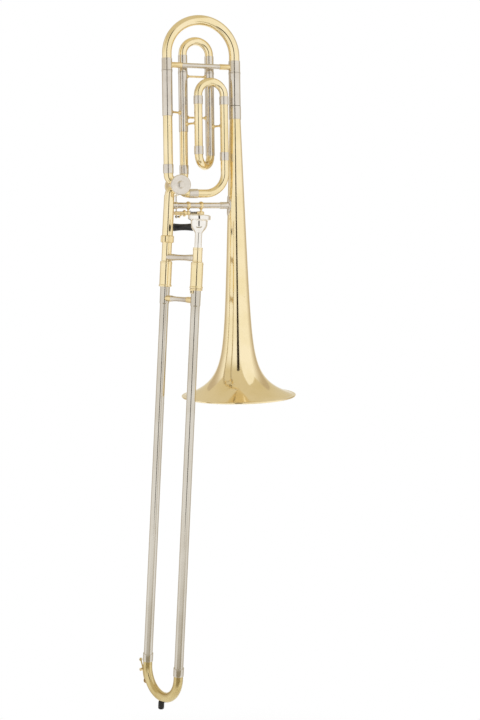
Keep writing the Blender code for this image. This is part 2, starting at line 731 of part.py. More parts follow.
def neck_point(along):
    """World point on the neckpipe's axis, measured up from the lock nut."""
    tilt = math.radians(NECK_TILT)
    return Vector((NECK_FOOT_X + along * math.sin(tilt), 0, NECK_FOOT_Z + along * math.cos(tilt)))


def make_casing(section):
    tilt = math.radians(NECK_TILT)
    neck_up = Vector((math.sin(tilt), 0, math.cos(tilt)))
    neck_side = Vector((math.cos(tilt), 0, -math.sin(tilt)))
    from_neck = (NECK_X, 0, GOOSENECK_FERRULE_TOP - FERRULE_LENGTH / 2 - SEAT)
    from_riser = (F_RISER_X, F_REAR_Y, F_FERRULE_TOP - FERRULE_LENGTH / 2 - SEAT)
    from_outlet = (F_OUTLET_X - SEAT, F_FRONT_Y, F_OUTLET_Z)
    neck_lap = NECKPIPE_TOP - SOCKET_LAP + SEAT
    knuckles = (
        (knuckle_route(from_neck, DOWN, RIGHT, UPPER_KNUCKLE_TURN), GOOSENECK_RADIUS),
        (knuckle_route(from_riser, DOWN, LEFT, UPPER_KNUCKLE_TURN), F_RADIUS),
        (knuckle_route(from_outlet, LEFT, UP, OUTLET_KNUCKLE_TURN), F_RADIUS),
        (knuckle_route(neck_point(neck_lap), neck_up, neck_side, NECK_KNUCKLE_TURN),
         GOOSENECK_RADIUS),
    )
    centre = (ROTOR_X, 0, ROTOR_Z)
    casing = turned("rotor_casing", drum(CASING_RADIUS, CASING_FRONT, CASING_BACK), BRASS,
                    section, centre, ALONG_Y, sides=ROTOR_SIDES)
    for route, radius in knuckles:
        add(casing, rod("knuckle", route, radius, BRASS, section, sides=F_SIDES))
    chamber = drum(CHAMBER_RADIUS, CASING_FRONT - PAST, CASING_BACK + PAST)
    cut(casing, turned("chamber", chamber, BRASS, section, centre, ALONG_Y, sides=ROTOR_SIDES))
    for route, radius in knuckles:
        start, heading = route[0]
        bore = [(start - heading * PORT_PAST, heading)] + route[1:]
        cut(casing, rod("port", bore, radius - WALL, BRASS, section, sides=F_SIDES))


def make_rotor_plates(section):
    """Front cap with its domed centre, and the back plate with the bearing of the spindle."""
    spigot = CHAMBER_RADIUS - SEAT
    bearing = SPINDLE_RADIUS + SEAT
    front = CASING_FRONT - SEAT
    face = front - CAP_THICKNESS
    end = face + CAP_BEVEL
    outline = [(0, end), (bearing, end), (bearing, front + SPIGOT_LENGTH),
               (spigot, front + SPIGOT_LENGTH), (spigot, front), (CAP_RADIUS, front),
               (CAP_RADIUS, end), (CAP_RADIUS - CAP_BEVEL, face),
               (CAP_DOME_RADIUS, face + CAP_BEVEL / 3),
               (CAP_DOME_RADIUS * 0.6, face - CAP_DOME_HEIGHT * 0.8), (0, face - CAP_DOME_HEIGHT)]
    turned("rotor_front_cap", outline, NICKEL, section, (ROTOR_X, 0, ROTOR_Z), ALONG_Y,
           sides=ROTOR_SIDES)
    back = CASING_BACK + SEAT
    end = back + CAP_THICKNESS * 0.75
    boss = end + BEARING_BOSS_LENGTH
    outline = [(BEARING_BOSS_RADIUS, boss), (BEARING_BOSS_RADIUS, end),
               (CAP_RADIUS - CAP_BEVEL, end), (CAP_RADIUS, end - CAP_BEVEL), (CAP_RADIUS, back),
               (spigot, back), (spigot, back - SPIGOT_LENGTH), (bearing, back - SPIGOT_LENGTH),
               (bearing, boss)]
    turned("rotor_back_plate", outline, NICKEL, section, (ROTOR_X, 0, ROTOR_Z), ALONG_Y,
           sides=ROTOR_SIDES)
    return boss


def make_rotor(axis, boss):
    """Rotor with its two passages, and the arm that carries the link's stud."""
    radius = CHAMBER_RADIUS - SEAT
    front = CASING_FRONT + SPIGOT_LENGTH
    back = CASING_BACK - SPIGOT_LENGTH
    nose = CASING_FRONT - CAP_THICKNESS / 2
    arm_low = boss + SEAT
    arm_high = arm_low + STOP_ARM_THICKNESS
    outline = [(0, arm_high), (SPINDLE_RADIUS, arm_high), (SPINDLE_RADIUS, back), (radius, back),
               (radius, front), (SPINDLE_RADIUS, front), (SPINDLE_RADIUS, nose), (0, nose)]
    rotor = turned("rotor", outline, BRASS, axis, rotation=ALONG_Y, sides=ROTOR_SIDES)
    for side in (-1, 1):
        passage = turned("passage", drum(GOOSENECK_RADIUS - WALL, -0.03, 0.03), BRASS, axis,
                         (side * SCOOP_OFFSET, 0, 0), sides=F_SIDES)
        cut(rotor, passage)
    turn = math.radians(ROTOR_TRAVEL / 2)
    stud = Vector((math.cos(turn), 0, -math.sin(turn))) * STUD_THROW
    hub = pipe(SPINDLE_RADIUS + SEAT + STOP_ARM_WALL, SPINDLE_RADIUS + SEAT, arm_low, arm_high)
    arm = turned("stop_arm", hub, STEEL, axis, rotation=ALONG_Y, sides=F_SIDES)
    inner = SPINDLE_RADIUS + SEAT + STOP_ARM_WALL / 2
    bridge = begin(stud.normalized() * inner + Vector((0, (arm_low + arm_high) / 2, 0)), stud)
    run(bridge, STUD_THROW - inner)
    add(arm, rod("bridge", bridge, STOP_ARM_RADIUS, STEEL, axis, sides=FINE_SIDES))
    pad = drum(STUD_PAD_RADIUS, arm_low, arm_high)
    add(arm, turned("pad", pad, STEEL, axis, stud, ALONG_Y, sides=ROD_SIDES))
    pin = drum(STUD_RADIUS, (arm_low + arm_high) / 2, arm_high + STUD_LENGTH)
    add(arm, turned("pin", pin, STEEL, axis, stud, ALONG_Y, sides=ROD_SIDES))


# F tubing


def make_f_slide(section, slide):
    leg = F_RADIUS - 2 * SEAT / 3
    sleeve("f_riser_sleeve", section, F_RISER_X, F_REAR_Y, F_RISER_SLEEVE_BOTTOM, SLEEVE_MOUTH,
           leg, F_RADIUS, sides=F_SIDES)
    sleeve("f_return_sleeve", section, F_RETURN_X, F_REAR_Y, F_RETURN_SLEEVE_BOTTOM,
           SLEEVE_MOUTH, leg, F_RADIUS, sides=F_SIDES)
    for name, x in (("f_leg_left", F_RISER_X), ("f_leg_right", F_RETURN_X)):
        slide_leg(name, slide, x, F_REAR_Y, SLEEVE_MOUTH, F_LEG_LENGTH, leg, F_LEG_FERRULE,
                  F_RADIUS, sides=F_SIDES)
    end = SLEEVE_MOUTH + SEAT + F_LEG_FERRULE - SOCKET_LAP
    rise = SLEEVE_MOUTH + F_BOW_CENTRE_ABOVE_MOUTH - end
    route = begin((F_RISER_X, F_REAR_Y, end), UP)
    run(route, rise)
    bend(route, RIGHT, (F_RETURN_X - F_RISER_X) / 2, 180, F_BOW_STEPS)
    run(route, rise)
    tube("f_bow", route, F_RADIUS, BRASS, slide)


def straight_leg(name, parent, x, y, low, high, low_lap, high_lap):
    """Straight length of F tube, with a ferrule on each end that takes the next bend."""
    socket = F_RADIUS + SEAT
    outer = socket + FERRULE_WALL
    outline = [(outer, high), (outer, high - high_lap), (F_RADIUS, high - high_lap),
               (F_RADIUS, low + low_lap), (outer, low + low_lap), (outer, low), (socket, low),
               (socket, low + low_lap / 2), (F_RADIUS - WALL, low + low_lap / 2),
               (F_RADIUS - WALL, high - high_lap / 2), (socket, high - high_lap / 2),
               (socket, high)]
    return turned(name, outline, BRASS, parent, (x, y, 0), sides=F_SIDES)


def make_f_wrap(section):
    middle = F_FERRULE_TOP - FERRULE_LENGTH / 2
    ferrule("f_inlet_ferrule", section, (F_RISER_X, F_REAR_Y, middle), F_RADIUS)
    top = F_RISER_SLEEVE_BOTTOM + SOCKET_LAP - SEAT
    turned("f_riser_tube", pipe(F_RADIUS, F_RADIUS - WALL, middle + SEAT, top), BRASS, section,
           (F_RISER_X, F_REAR_Y, 0), sides=F_SIDES)
    lap = F_LEFT_FERRULE
    left_low = F_RETURN_SLEEVE_BOTTOM
    across = Vector((F_FRONT_LEFT_X - F_RETURN_X, F_FRONT_Y - F_REAR_Y, 0))
    rise = SOCKET_LAP - SEAT
    route = begin((F_RETURN_X, F_REAR_Y, F_RETURN_SLEEVE_BOTTOM + rise), DOWN)
    run(route, rise)
    bend(route, across, across.length / 2, 180, F_BOW_STEPS)
    run(route, lap / 2 - SEAT)
    tube("f_rear_bow", route, F_RADIUS, BRASS, section)
    straight_leg("f_front_left_tube", section, F_FRONT_LEFT_X, F_FRONT_Y, left_low, F_FRONT_TOP,
                 lap, lap)
    straight_leg("f_front_right_tube", section, F_FRONT_RIGHT_X, F_FRONT_Y, F_RIGHT_BOTTOM,
                 F_FRONT_TOP, lap, lap)
    route = begin((F_FRONT_LEFT_X, F_FRONT_Y, F_FRONT_TOP - lap / 2 + SEAT), UP)
    run(route, lap / 2 - SEAT + F_FRONT_RISE)
    bend(route, RIGHT, (F_FRONT_RIGHT_X - F_FRONT_LEFT_X) / 2, 180, F_BOW_STEPS)
    run(route, lap / 2 - SEAT + F_FRONT_RISE)
    tube("f_front_bow", route, F_RADIUS, BRASS, section)
    bend_top = F_OUTLET_Z + F_RETURN_BEND
    route = begin((F_FRONT_RIGHT_X, F_FRONT_Y, F_RIGHT_BOTTOM + lap / 2 - SEAT), DOWN)
    run(route, F_RIGHT_BOTTOM + lap / 2 - SEAT - bend_top)
    bend(route, LEFT, F_RETURN_BEND, 90, F_BOW_STEPS - 2)
    run(route, F_FRONT_RIGHT_X - F_RETURN_BEND - F_OUTLET_X - SEAT)
    tube("f_return_bend", route, F_RADIUS, BRASS, section)
    ferrule("f_outlet_ferrule", section, (F_OUTLET_X, F_FRONT_Y, F_OUTLET_Z), F_RADIUS, ALONG_X)


def make_wrap_braces(section):
    sleeve_skin = F_RADIUS + SEAT + WALL
    neck_skin = GOOSENECK_RADIUS + SEAT + WALL
    riser = (F_RISER_X, F_REAR_Y)
    back = (F_RETURN_X, F_REAR_Y)
    left = (F_FRONT_LEFT_X, F_FRONT_Y)
    right = (F_FRONT_RIGHT_X, F_FRONT_Y)
    for name, a, b, z, clear_a, clear_b in (
            ("brace_f_sleeves", riser, back, SLEEVE_MOUTH - BRACE_BELOW_MOUTH, sleeve_skin,
             sleeve_skin),
            ("brace_neck_riser", (NECK_X, 0), riser, BRACE_NECK_Z, neck_skin, sleeve_skin),
            ("brace_riser_return", riser, back, BRACE_REAR_Z, sleeve_skin, sleeve_skin),
            ("brace_riser_front", riser, left, BRACE_LEFT_Z, sleeve_skin, F_RADIUS),
            ("brace_return_front", back, right, BRACE_RIGHT_Z, sleeve_skin, F_RADIUS)):
        brace(name, (*a, z), (*b, z), WRAP_BRACE_RADIUS, WRAP_FOOT_RADIUS, WRAP_FOOT,
              clear_a, clear_b, BRASS, section, sides=10)


# Bell brace, and the posts under it that carry the lever


def bell_solid(name, parent, extra):
    """The bell's stem near its brace as a solid, grown by a clearance."""
    low = BELL_BRACE_Z - 2 * SADDLE_HALF_HEIGHT
    high = BELL_BRACE_Z + 2 * SADDLE_HALF_HEIGHT
    outline = [(0, high), (bell_radius(high) + WALL / 2 + extra, high),
               (bell_radius(low) + WALL / 2 + extra, low), (0, low)]
    return turned(name, outline, NICKEL, parent, sides=ROTOR_SIDES)


def make_bell_brace(section):
    heading = RIGHT
    start = Vector((NECK_X, 0, BELL_BRACE_Z))
    foot = start + heading * (NECKPIPE_FOOT_RADIUS + BELL_BRACE_FOOT)
    step = Vector((BELL_BRACE_SLEEVE_X, 0, BELL_BRACE_Z))
    end = Vector((BELL_BRACE_END, 0, BELL_BRACE_Z))
    route = [(start, heading), (foot, heading), (foot + heading * BELL_BRACE_STEP, heading),
             (step, heading), (step + heading * BELL_BRACE_STEP, heading), (end, heading)]
    radii = [BELL_BRACE_SLEEVE_RADIUS] * 2 + [BELL_BRACE_RADIUS] * 2
    radii += [BELL_BRACE_SLEEVE_RADIUS] * 2
    bm = bmesh.new()
    skin(bm, rings(bm, route, radii, F_SIDES), closed=False)
    made = finish("bell_brace", bm, NICKEL, section)
    saddle = turned("saddle", drum(1.0, *SADDLE_BLANK), NICKEL, section,
                    (0, 0, BELL_BRACE_Z), ALONG_X, sides=24)
    saddle.scale = (SADDLE_HALF_HEIGHT, SADDLE_HALF_WIDTH, 1)
    combine(saddle, bell_solid("skin", section, SEAT + SADDLE_THICKNESS), "INTERSECT")
    add(made, saddle)
    cut(made, bell_solid("stem", section, SEAT))
    along = (BELL_BRACE_Z - NECK_FOOT_Z) / math.cos(math.radians(NECK_TILT))
    route = begin(neck_point(along - HUG_REACH), neck_point(1) - neck_point(0))
    run(route, 2 * HUG_REACH)
    cut(made, rod("neck", route, NECKPIPE_FOOT_RADIUS + SEAT, NICKEL, section, sides=24))


def make_lever_post(name, section, x):
    collar = BELL_BRACE_RADIUS + SEAT + POST_WALL
    half = POST_WIDTH / 2
    post = turned(name, drum(collar, -half, half), BRASS, section, (x, 0, BELL_BRACE_Z), ALONG_X,
                  sides=F_SIDES)
    web = (x - half * 0.8, -POST_WALL, LEVER_Z), (x + half * 0.8, POST_WALL, BELL_BRACE_Z)
    add(post, block("web", *web, BRASS, section))
    boss = drum(POST_BOSS_RADIUS, -half - POST_BOSS_PROUD, half + POST_BOSS_PROUD)
    add(post, turned("boss", boss, BRASS, section, (x, 0, LEVER_Z), ALONG_X, sides=ROD_SIDES))
    for radius, z in ((BELL_BRACE_RADIUS + SEAT, BELL_BRACE_Z),
                      (LEVER_SHAFT_RADIUS + SEAT, LEVER_Z)):
        bore = drum(radius, -POST_WIDTH, POST_WIDTH)
        cut(post, turned("bore", bore, BRASS, section, (x, 0, z), ALONG_X, sides=F_SIDES))


# Thumb lever and link


def make_lever_shaft(axis):
    """Shaft through both posts, ribbed at its left end and headed at its right."""
    knob = POST_LEFT_X - POST_WIDTH / 2 - SEAT
    head = POST_RIGHT_X + POST_WIDTH / 2 + SEAT
    outline = [(0, head + LEVER_HEAD), (LEVER_HEAD_RADIUS, head + LEVER_HEAD),
               (LEVER_HEAD_RADIUS, head), (LEVER_SHAFT_RADIUS, head), (LEVER_SHAFT_RADIUS, knob),
               (LEVER_KNOB_RADIUS, knob)]
    ribbed = CRANK_X - CRANK_THICKNESS - LEVER_KNOB_LAND
    pitch = (ribbed - LEVER_KNOB_END) / LEVER_KNOB_RIBS
    groove = LEVER_KNOB_RADIUS - LEVER_KNOB_GROOVE
    for rib in range(LEVER_KNOB_RIBS):
        high = ribbed - rib * pitch
        outline += [(LEVER_KNOB_RADIUS, high), (groove, high - pitch * 0.3),
                    (groove, high - pitch * 0.6)]
    outline += [(LEVER_KNOB_RADIUS, LEVER_KNOB_END + LEVER_KNOB_BEVEL), (0, LEVER_KNOB_END)]
    turned("lever_shaft", outline, BRASS, axis, rotation=ALONG_X, sides=ROD_SIDES)


def touch_frame():
    """Left end of the touch, and its heading, measured from the lever's shaft."""
    turn = math.radians(TOUCH_TURN)
    heading = Vector((math.cos(turn), math.sin(turn), 0))
    return Vector(TOUCH_LEFT) - Vector((0, 0, LEVER_Z)), heading


def make_thumb_lever(axis):
    """Hub on the shaft, and the arm that curves out to the touch's spindle."""
    low = POST_RIGHT_X - POST_WIDTH / 2 - SEAT - LEVER_HUB_LENGTH
    hub = turned("thumb_lever", drum(LEVER_HUB_RADIUS, low, low + LEVER_HUB_LENGTH), BRASS, axis,
                 rotation=ALONG_X, sides=F_SIDES)
    left, heading = touch_frame()
    right = left + heading * TOUCH_LENGTH
    x = low + LEVER_HUB_LENGTH / 2
    middle, last = LEVER_ARM_SWEEP
    arm = through([(x, *LEVER_ARM_ROOT), (x, *LEVER_ARM_SHOULDER),
                   (x - middle, right.y * 0.65, right.z * 0.66),
                   (x - last, right.y - LEVER_ARM_HOLLOW, right.z * 0.96),
                   right + heading * LEVER_ARM_ELBOW, right - heading * TOUCH_SPINDLE])
    add(hub, rod("arm", arm, LEVER_ARM_RADIUS, BRASS, axis, sides=10))
    bore = drum(LEVER_SHAFT_RADIUS + SEAT, low - PAST, low + LEVER_HUB_LENGTH + PAST)
    cut(hub, turned("bore", bore, BRASS, axis, rotation=ALONG_X, sides=F_SIDES))


def make_touch(axis):
    """Waisted black grip, bored from its right end for the lever's spindle."""
    left, heading = touch_frame()
    bore = LEVER_ARM_RADIUS + SEAT
    outline = [(0, 0), (TOUCH_RADIUS - TOUCH_BEVEL, 0), (TOUCH_RADIUS, TOUCH_BEVEL)]
    steps = 6
    for i in range(1, steps):
        share = i / steps
        radius = TOUCH_WAIST + (TOUCH_RADIUS - TOUCH_WAIST) * (2 * share - 1) ** 2
        outline.append((radius, share * TOUCH_LENGTH))
    outline += [(TOUCH_RADIUS, TOUCH_LENGTH - TOUCH_BEVEL),
                (TOUCH_RADIUS - TOUCH_BEVEL, TOUCH_LENGTH),
                (bore, TOUCH_LENGTH), (bore, TOUCH_LENGTH - TOUCH_SPINDLE - SEAT),
                (0, TOUCH_LENGTH - TOUCH_SPINDLE - SEAT)]
    spin = Vector((0, 0, 1)).rotation_difference(heading).to_euler()
    turned("thumb_touch", outline, BLACK, axis, left, spin, sides=F_SIDES)


def make_crank(axis):
    """Arm from the shaft back to the pin that lifts the link."""
    low = CRANK_X - CRANK_THICKNESS / 2
    high = CRANK_X + CRANK_THICKNESS / 2
    hub = pipe(CRANK_HUB_RADIUS, LEVER_KNOB_RADIUS + SEAT, low, high)
    crank = turned("crank_arm", hub, BRASS, axis, rotation=ALONG_X, sides=F_SIDES)
    turn = math.radians(LEVER_TRAVEL / 2)
    end = Vector((0, math.cos(turn), -math.sin(turn))) * CRANK_THROW
    outward = end.normalized()
    start = outward * (LEVER_KNOB_RADIUS + SEAT + CRANK_HUB_RADIUS) / 2
    route = begin(start + Vector((CRANK_X, 0, 0)), outward)
    run(route, CRANK_THROW - start.length)
    add(crank, rod("arm", route, CRANK_ARM_RADIUS, BRASS, axis, sides=FINE_SIDES))
    pad = drum(CRANK_PAD_RADIUS, low + SEAT, high - SEAT)
    add(crank, turned("pad", pad, BRASS, axis, end, ALONG_X, sides=ROD_SIDES))
    pin = drum(LINK_PIN_RADIUS, LINK_X - LINK_THICKNESS / 2 - CRANK_PIN_END, CRANK_X)
    add(crank, turned("pin", pin, BRASS, axis, end, ALONG_X, sides=ROD_SIDES))


def make_link(axis):
    """Upright link: an eye on the crank's pin, and a wide eye round the rotor's stud."""
    half = LINK_THICKNESS / 2
    low_eye = LINK_PIN_RADIUS + SEAT
    high_eye = STUD_RADIUS + STUD_PLAY
    link = turned("link_rod", pipe(low_eye + LINK_WALL, low_eye, -half, half), STEEL, axis,
                  rotation=ALONG_X, sides=F_SIDES)
    eye = pipe(high_eye + LINK_WALL, high_eye, -half, half)
    low = low_eye + LINK_WALL / 2
    route = begin((0, 0, low), UP)
    run(route, LINK_LENGTH - low - high_eye - LINK_WALL / 2)
    add(link, rod("rod", route, LINK_ROD_RADIUS, STEEL, axis, sides=FINE_SIDES))
    add(link, turned("eye", eye, STEEL, axis, (0, 0, LINK_LENGTH), ALONG_Y, sides=F_SIDES))


def coil(name, parent, axis, centre, start, radius, length, turns, wire, tails):
    """Wound spring about an axis, with a straight tail off each end; prints its least gap."""
    axis = Vector(axis).normalized()
    side = Vector(start).normalized()
    across = axis.cross(side)
    count = round(turns * SPRING_POINTS)
    points = []
    for i in range(count + 1):
        turn = 2 * math.pi * i / SPRING_POINTS
        points.append(Vector(centre) + axis * length * (i / count - 0.5)
                      + (side * math.cos(turn) + across * math.sin(turn)) * radius)
    gap = min((points[i] - points[k]).length for i in range(len(points))
              for k in range(i + SPRING_POINTS // 2, len(points))) - 2 * wire
    print(f"{name}: least gap between turns {gap * 1000:.2f} mm")
    last = 2 * math.pi * count / SPRING_POINTS
    points.insert(0, points[0] - across * tails[0])
    points.append(points[-1] + (across * math.cos(last) - side * math.sin(last)) * tails[1])
    curve = bpy.data.curves.new(name, "CURVE")
    curve.dimensions = "3D"
    curve.bevel_depth = wire
    curve.bevel_resolution = 1
    curve.use_fill_caps = True
    spline = curve.splines.new("POLY")
    spline.points.add(len(points) - 1)
    for place, point in zip(spline.points, points):
        place.co = (*point, 1)
    curve.materials.append(STEEL)
    made = bpy.data.objects.new(name, curve)
    bpy.context.scene.collection.objects.link(made)
    made.parent = parent
    return made


def make_lever_spring(axis):
    """Torsion spring round the shaft, between the left post and the lever's hub."""
    left = POST_LEFT_X + POST_WIDTH / 2
    right = POST_RIGHT_X - POST_WIDTH / 2 - SEAT - LEVER_HUB_LENGTH
    radius = LEVER_SHAFT_RADIUS + 2 * SEAT + LEVER_SPRING_WIRE
    length = right - left - 2 * (LEVER_SPRING_WIRE + SEAT)
    coil("lever_spring", axis, (1, 0, 0), ((left + right) / 2, 0, 0), (0, -1, 0), radius, length,
         LEVER_SPRING_TURNS, LEVER_SPRING_WIRE, LEVER_SPRING_TAILS)


# Neckpipe, lock nut and the inner slide, in the slide's own frame


def make_neckpipe(tilted):
    socket = GOOSENECK_RADIUS + SEAT
    shoulder = NECKPIPE_TOP - SOCKET_LAP
    outline = [(NECKPIPE_TOP_RADIUS, NECKPIPE_TOP), (NECKPIPE_FOOT_RADIUS, NECKPIPE_TAPER_END),
               (NECKPIPE_FOOT_RADIUS, -NECKPIPE_FOOT_DROP), (NECKPIPE_BORE, -NECKPIPE_FOOT_DROP),
               (NECKPIPE_BORE, shoulder), (socket, shoulder), (socket, NECKPIPE_TOP)]
    turned("neckpipe", outline, BRASS, tilted)


def make_lock_nut(axis):
    low = -NECKPIPE_FOOT_DROP - SEAT - COLLAR_LENGTH - SEAT - NUT_FLANGE
    high = low + NUT_LENGTH
    bore = NECKPIPE_FOOT_RADIUS + SEAT
    neck = JOINT_TUBE_RADIUS + SEAT
    outline = [(NUT_RADIUS - NUT_BEVEL, high), (NUT_RADIUS, high - NUT_BEVEL_LENGTH),
               (NUT_RADIUS, low + NUT_BEVEL_LENGTH), (NUT_RADIUS - NUT_BEVEL, low), (neck, low),
               (neck, low + NUT_FLANGE), (bore, low + NUT_FLANGE), (bore, high)]
    turned("bell_lock_nut", outline, BRASS, axis, sides=4 * NUT_FLUTES, flutes=NUT_FLUTES,
           flute_depth=NUT_FLUTE_DEPTH, flutes_beyond=bore + NUT_FLUTE_FLOOR)


def make_joint_tube(slide):
    tenon = NECKPIPE_BORE - SEAT
    collar_top = -NECKPIPE_FOOT_DROP - SEAT
    bore = STOCKING_RADIUS + SEAT / 2
    foot = BARREL_TOP + SEAT
    outline = [(tenon, TENON_LENGTH), (tenon, collar_top), (COLLAR_RADIUS, collar_top),
               (COLLAR_RADIUS, collar_top - COLLAR_LENGTH),
               (JOINT_TUBE_RADIUS, collar_top - COLLAR_LENGTH), (JOINT_TUBE_RADIUS, foot),
               (bore, foot), (bore, TENON_LENGTH)]
    turned("slide_joint_tube", outline, BRASS, slide)


def make_receiver(slide):
    foot = BARREL_TOP + SEAT
    top = BARREL_TOP + SEAT + RECEIVER_LENGTH
    narrow = MOUTHPIECE_SHANK_RADIUS + SEAT
    wide = INNER_RADIUS + SEAT
    step = foot + SOCKET_LAP
    ring = RECEIVER_RADIUS + BEAD * 0.6
    outline = [(ring, top), (ring, top - 2 * BEAD_LENGTH),
               (RECEIVER_RADIUS, top - RECEIVER_RING_LENGTH), (RECEIVER_RADIUS, foot),
               (wide, foot), (wide, step), (narrow, step), (narrow, top)]
    turned("mouthpiece_receiver", outline, BRASS, slide, (SLIDE_SPACING, 0, 0))


def make_barrel(name, slide, x):
    """Cork barrel: closed round the inner tube at its top, open below for the outer slide."""
    bore = BARREL_RADIUS - BARREL_WALL
    hole = INNER_RADIUS + SEAT
    lip = BARREL_RADIUS + BARREL_LIP
    start, full, end = (BARREL_FOOT + height for height in BARREL_LIP_ENDS)
    outline = [(BARREL_RADIUS - BARREL_BEVEL, BARREL_TOP),
               (BARREL_RADIUS, BARREL_TOP - BARREL_BEVEL_LENGTH), (BARREL_RADIUS, start),
               (lip, full), (lip, end), (BARREL_RADIUS, BARREL_FOOT), (bore, BARREL_FOOT),
               (bore, BARREL_TOP - BARREL_CAP), (hole, BARREL_TOP - BARREL_CAP),
               (hole, BARREL_TOP)]
    turned(name, outline, BRASS, slide, (x, 0, 0))


def make_inner_tube(name, slide, x):
    stocking = INNER_FOOT + STOCKING_LENGTH
    bore = INNER_RADIUS - INNER_WALL
    outline = [(INNER_RADIUS, INNER_TOP), (INNER_RADIUS, stocking + STOCKING_TAPER),
               (STOCKING_RADIUS, stocking), (STOCKING_RADIUS, INNER_FOOT), (bore, INNER_FOOT),
               (bore, INNER_TOP)]
    turned(name, outline, NICKEL, slide, (x, 0, 0), sides=F_SIDES)


def make_inner_slide(slide):
    make_joint_tube(slide)
    make_receiver(slide)
    for side, x in (("neck", 0), ("mouthpiece", SLIDE_SPACING)):
        make_barrel(f"barrel_{side}", slide, x)
        make_inner_tube(f"inner_tube_{side}", slide, x)
    brace("inner_slide_brace", (0, 0, INNER_BRACE_Z), (SLIDE_SPACING, 0, INNER_BRACE_Z),
          INNER_BRACE_RADIUS * 0.98, INNER_BRACE_RADIUS, INNER_BRACE_FOOT, JOINT_TUBE_RADIUS,
          RECEIVER_RADIUS, NICKEL, slide, waist=INNER_BRACE_WAIST, sides=F_SIDES)


def make_lock_ring(axis):
    """Ring under the mouthpiece barrel, with the tab that hooks the outer slide."""
    high = BARREL_FOOT - SEAT
    low = high - LOCK_RING_WIDTH
    bore = OUTER_SLEEVE_RADIUS + 2 * SEAT
    ring = turned("slide_lock_ring", drum(LOCK_RING_RADIUS, low, high), BRASS, axis)
    half = LOCK_TAB_WIDTH / 2
    add(ring, block("tab", (-half, -LOCK_RING_RADIUS + LOCK_TAB_INSET, low - LOCK_TAB_DROP),
                    (half, -bore + LOCK_TAB_ROOT, high - LOCK_TAB_STEP), BRASS, axis))
    cut(ring, turned("bore", drum(bore, low - 2 * PAST, high + PAST), BRASS, axis))


def make_mouthpiece(axis):
    """Cup mouthpiece, with its rim up and its shank down in the receiver."""
    top = BARREL_TOP + SEAT + RECEIVER_LENGTH + MOUTHPIECE_SHOWN
    rim, cup = MOUTHPIECE_RIM_RADIUS, MOUTHPIECE_CUP_RADIUS
    bowl, waist = MOUTHPIECE_CUP_OUTER, MOUTHPIECE_WAIST_RADIUS
    round_off = MOUTHPIECE_RIM_ROUND
    foot = MOUTHPIECE_RIM_HEIGHT
    end = MOUTHPIECE_SHOWN + MOUTHPIECE_INSERTED
    outer = [(cup + round_off, 0), (rim - round_off / 2, round_off / 4), (rim, round_off),
             (rim, foot - round_off), (bowl, foot), (bowl, (foot + MOUTHPIECE_CUP_DEPTH) / 2),
             (bowl * 0.8, MOUTHPIECE_CUP_DEPTH), (waist * 1.25, MOUTHPIECE_BOWL_DEPTH),
             (waist, MOUTHPIECE_BOWL_DEPTH + round_off),
             (MOUTHPIECE_SHANK_RADIUS, MOUTHPIECE_SHOWN), (MOUTHPIECE_END_RADIUS, end)]
    inner = [(MOUTHPIECE_END_RADIUS - MOUTHPIECE_END_WALL, end),
             (MOUTHPIECE_THROAT, MOUTHPIECE_CUP_DEPTH + MOUTHPIECE_THROAT_LENGTH)]
    steps = 4
    for i in range(steps + 1):
        depth = MOUTHPIECE_CUP_DEPTH * (1 - i / steps) + round_off / 2 * i / steps
        share = math.sqrt(1 - (depth / (MOUTHPIECE_CUP_DEPTH * 1.03)) ** 2)
        inner.append((max(MOUTHPIECE_THROAT, cup * share), depth))
    outline = [(radius, top - depth) for radius, depth in outer + inner]
    turned("mouthpiece", outline, SILVER, axis, sides=ROTOR_SIDES)


# Outer slide


def make_outer_tube(name, slide, x):
    radius = STOCKING_RADIUS + SEAT + OUTER_WALL
    bore = STOCKING_RADIUS + SEAT
    socket = CROOK_RADIUS + SEAT
    shell = socket + FERRULE_WALL
    lap = CROOK_TOP + SEAT
    ferrule_top = OUTER_FOOT + CROOK_FERRULE
    sleeve_foot = OUTER_TOP - OUTER_SLEEVE_LENGTH
    outline = [(OUTER_SLEEVE_RADIUS, OUTER_TOP), (OUTER_SLEEVE_RADIUS, sleeve_foot),
               (radius, sleeve_foot - OUTER_SLEEVE_TAPER), (radius, ferrule_top),
               (shell, ferrule_top), (shell, OUTER_FOOT), (socket, OUTER_FOOT), (socket, lap),
               (bore, lap), (bore, OUTER_TOP)]
    turned(name, outline, NICKEL, slide, (x, 0, 0))


def crook_point(turn_degrees, distance):
    """Point beside the crook's bend, round from its neck leg, at a distance from its centre."""
    turn = math.radians(turn_degrees)
    return Vector((BEND_RADIUS - distance * math.cos(turn), 0, BEND_Z - distance * math.sin(turn)))


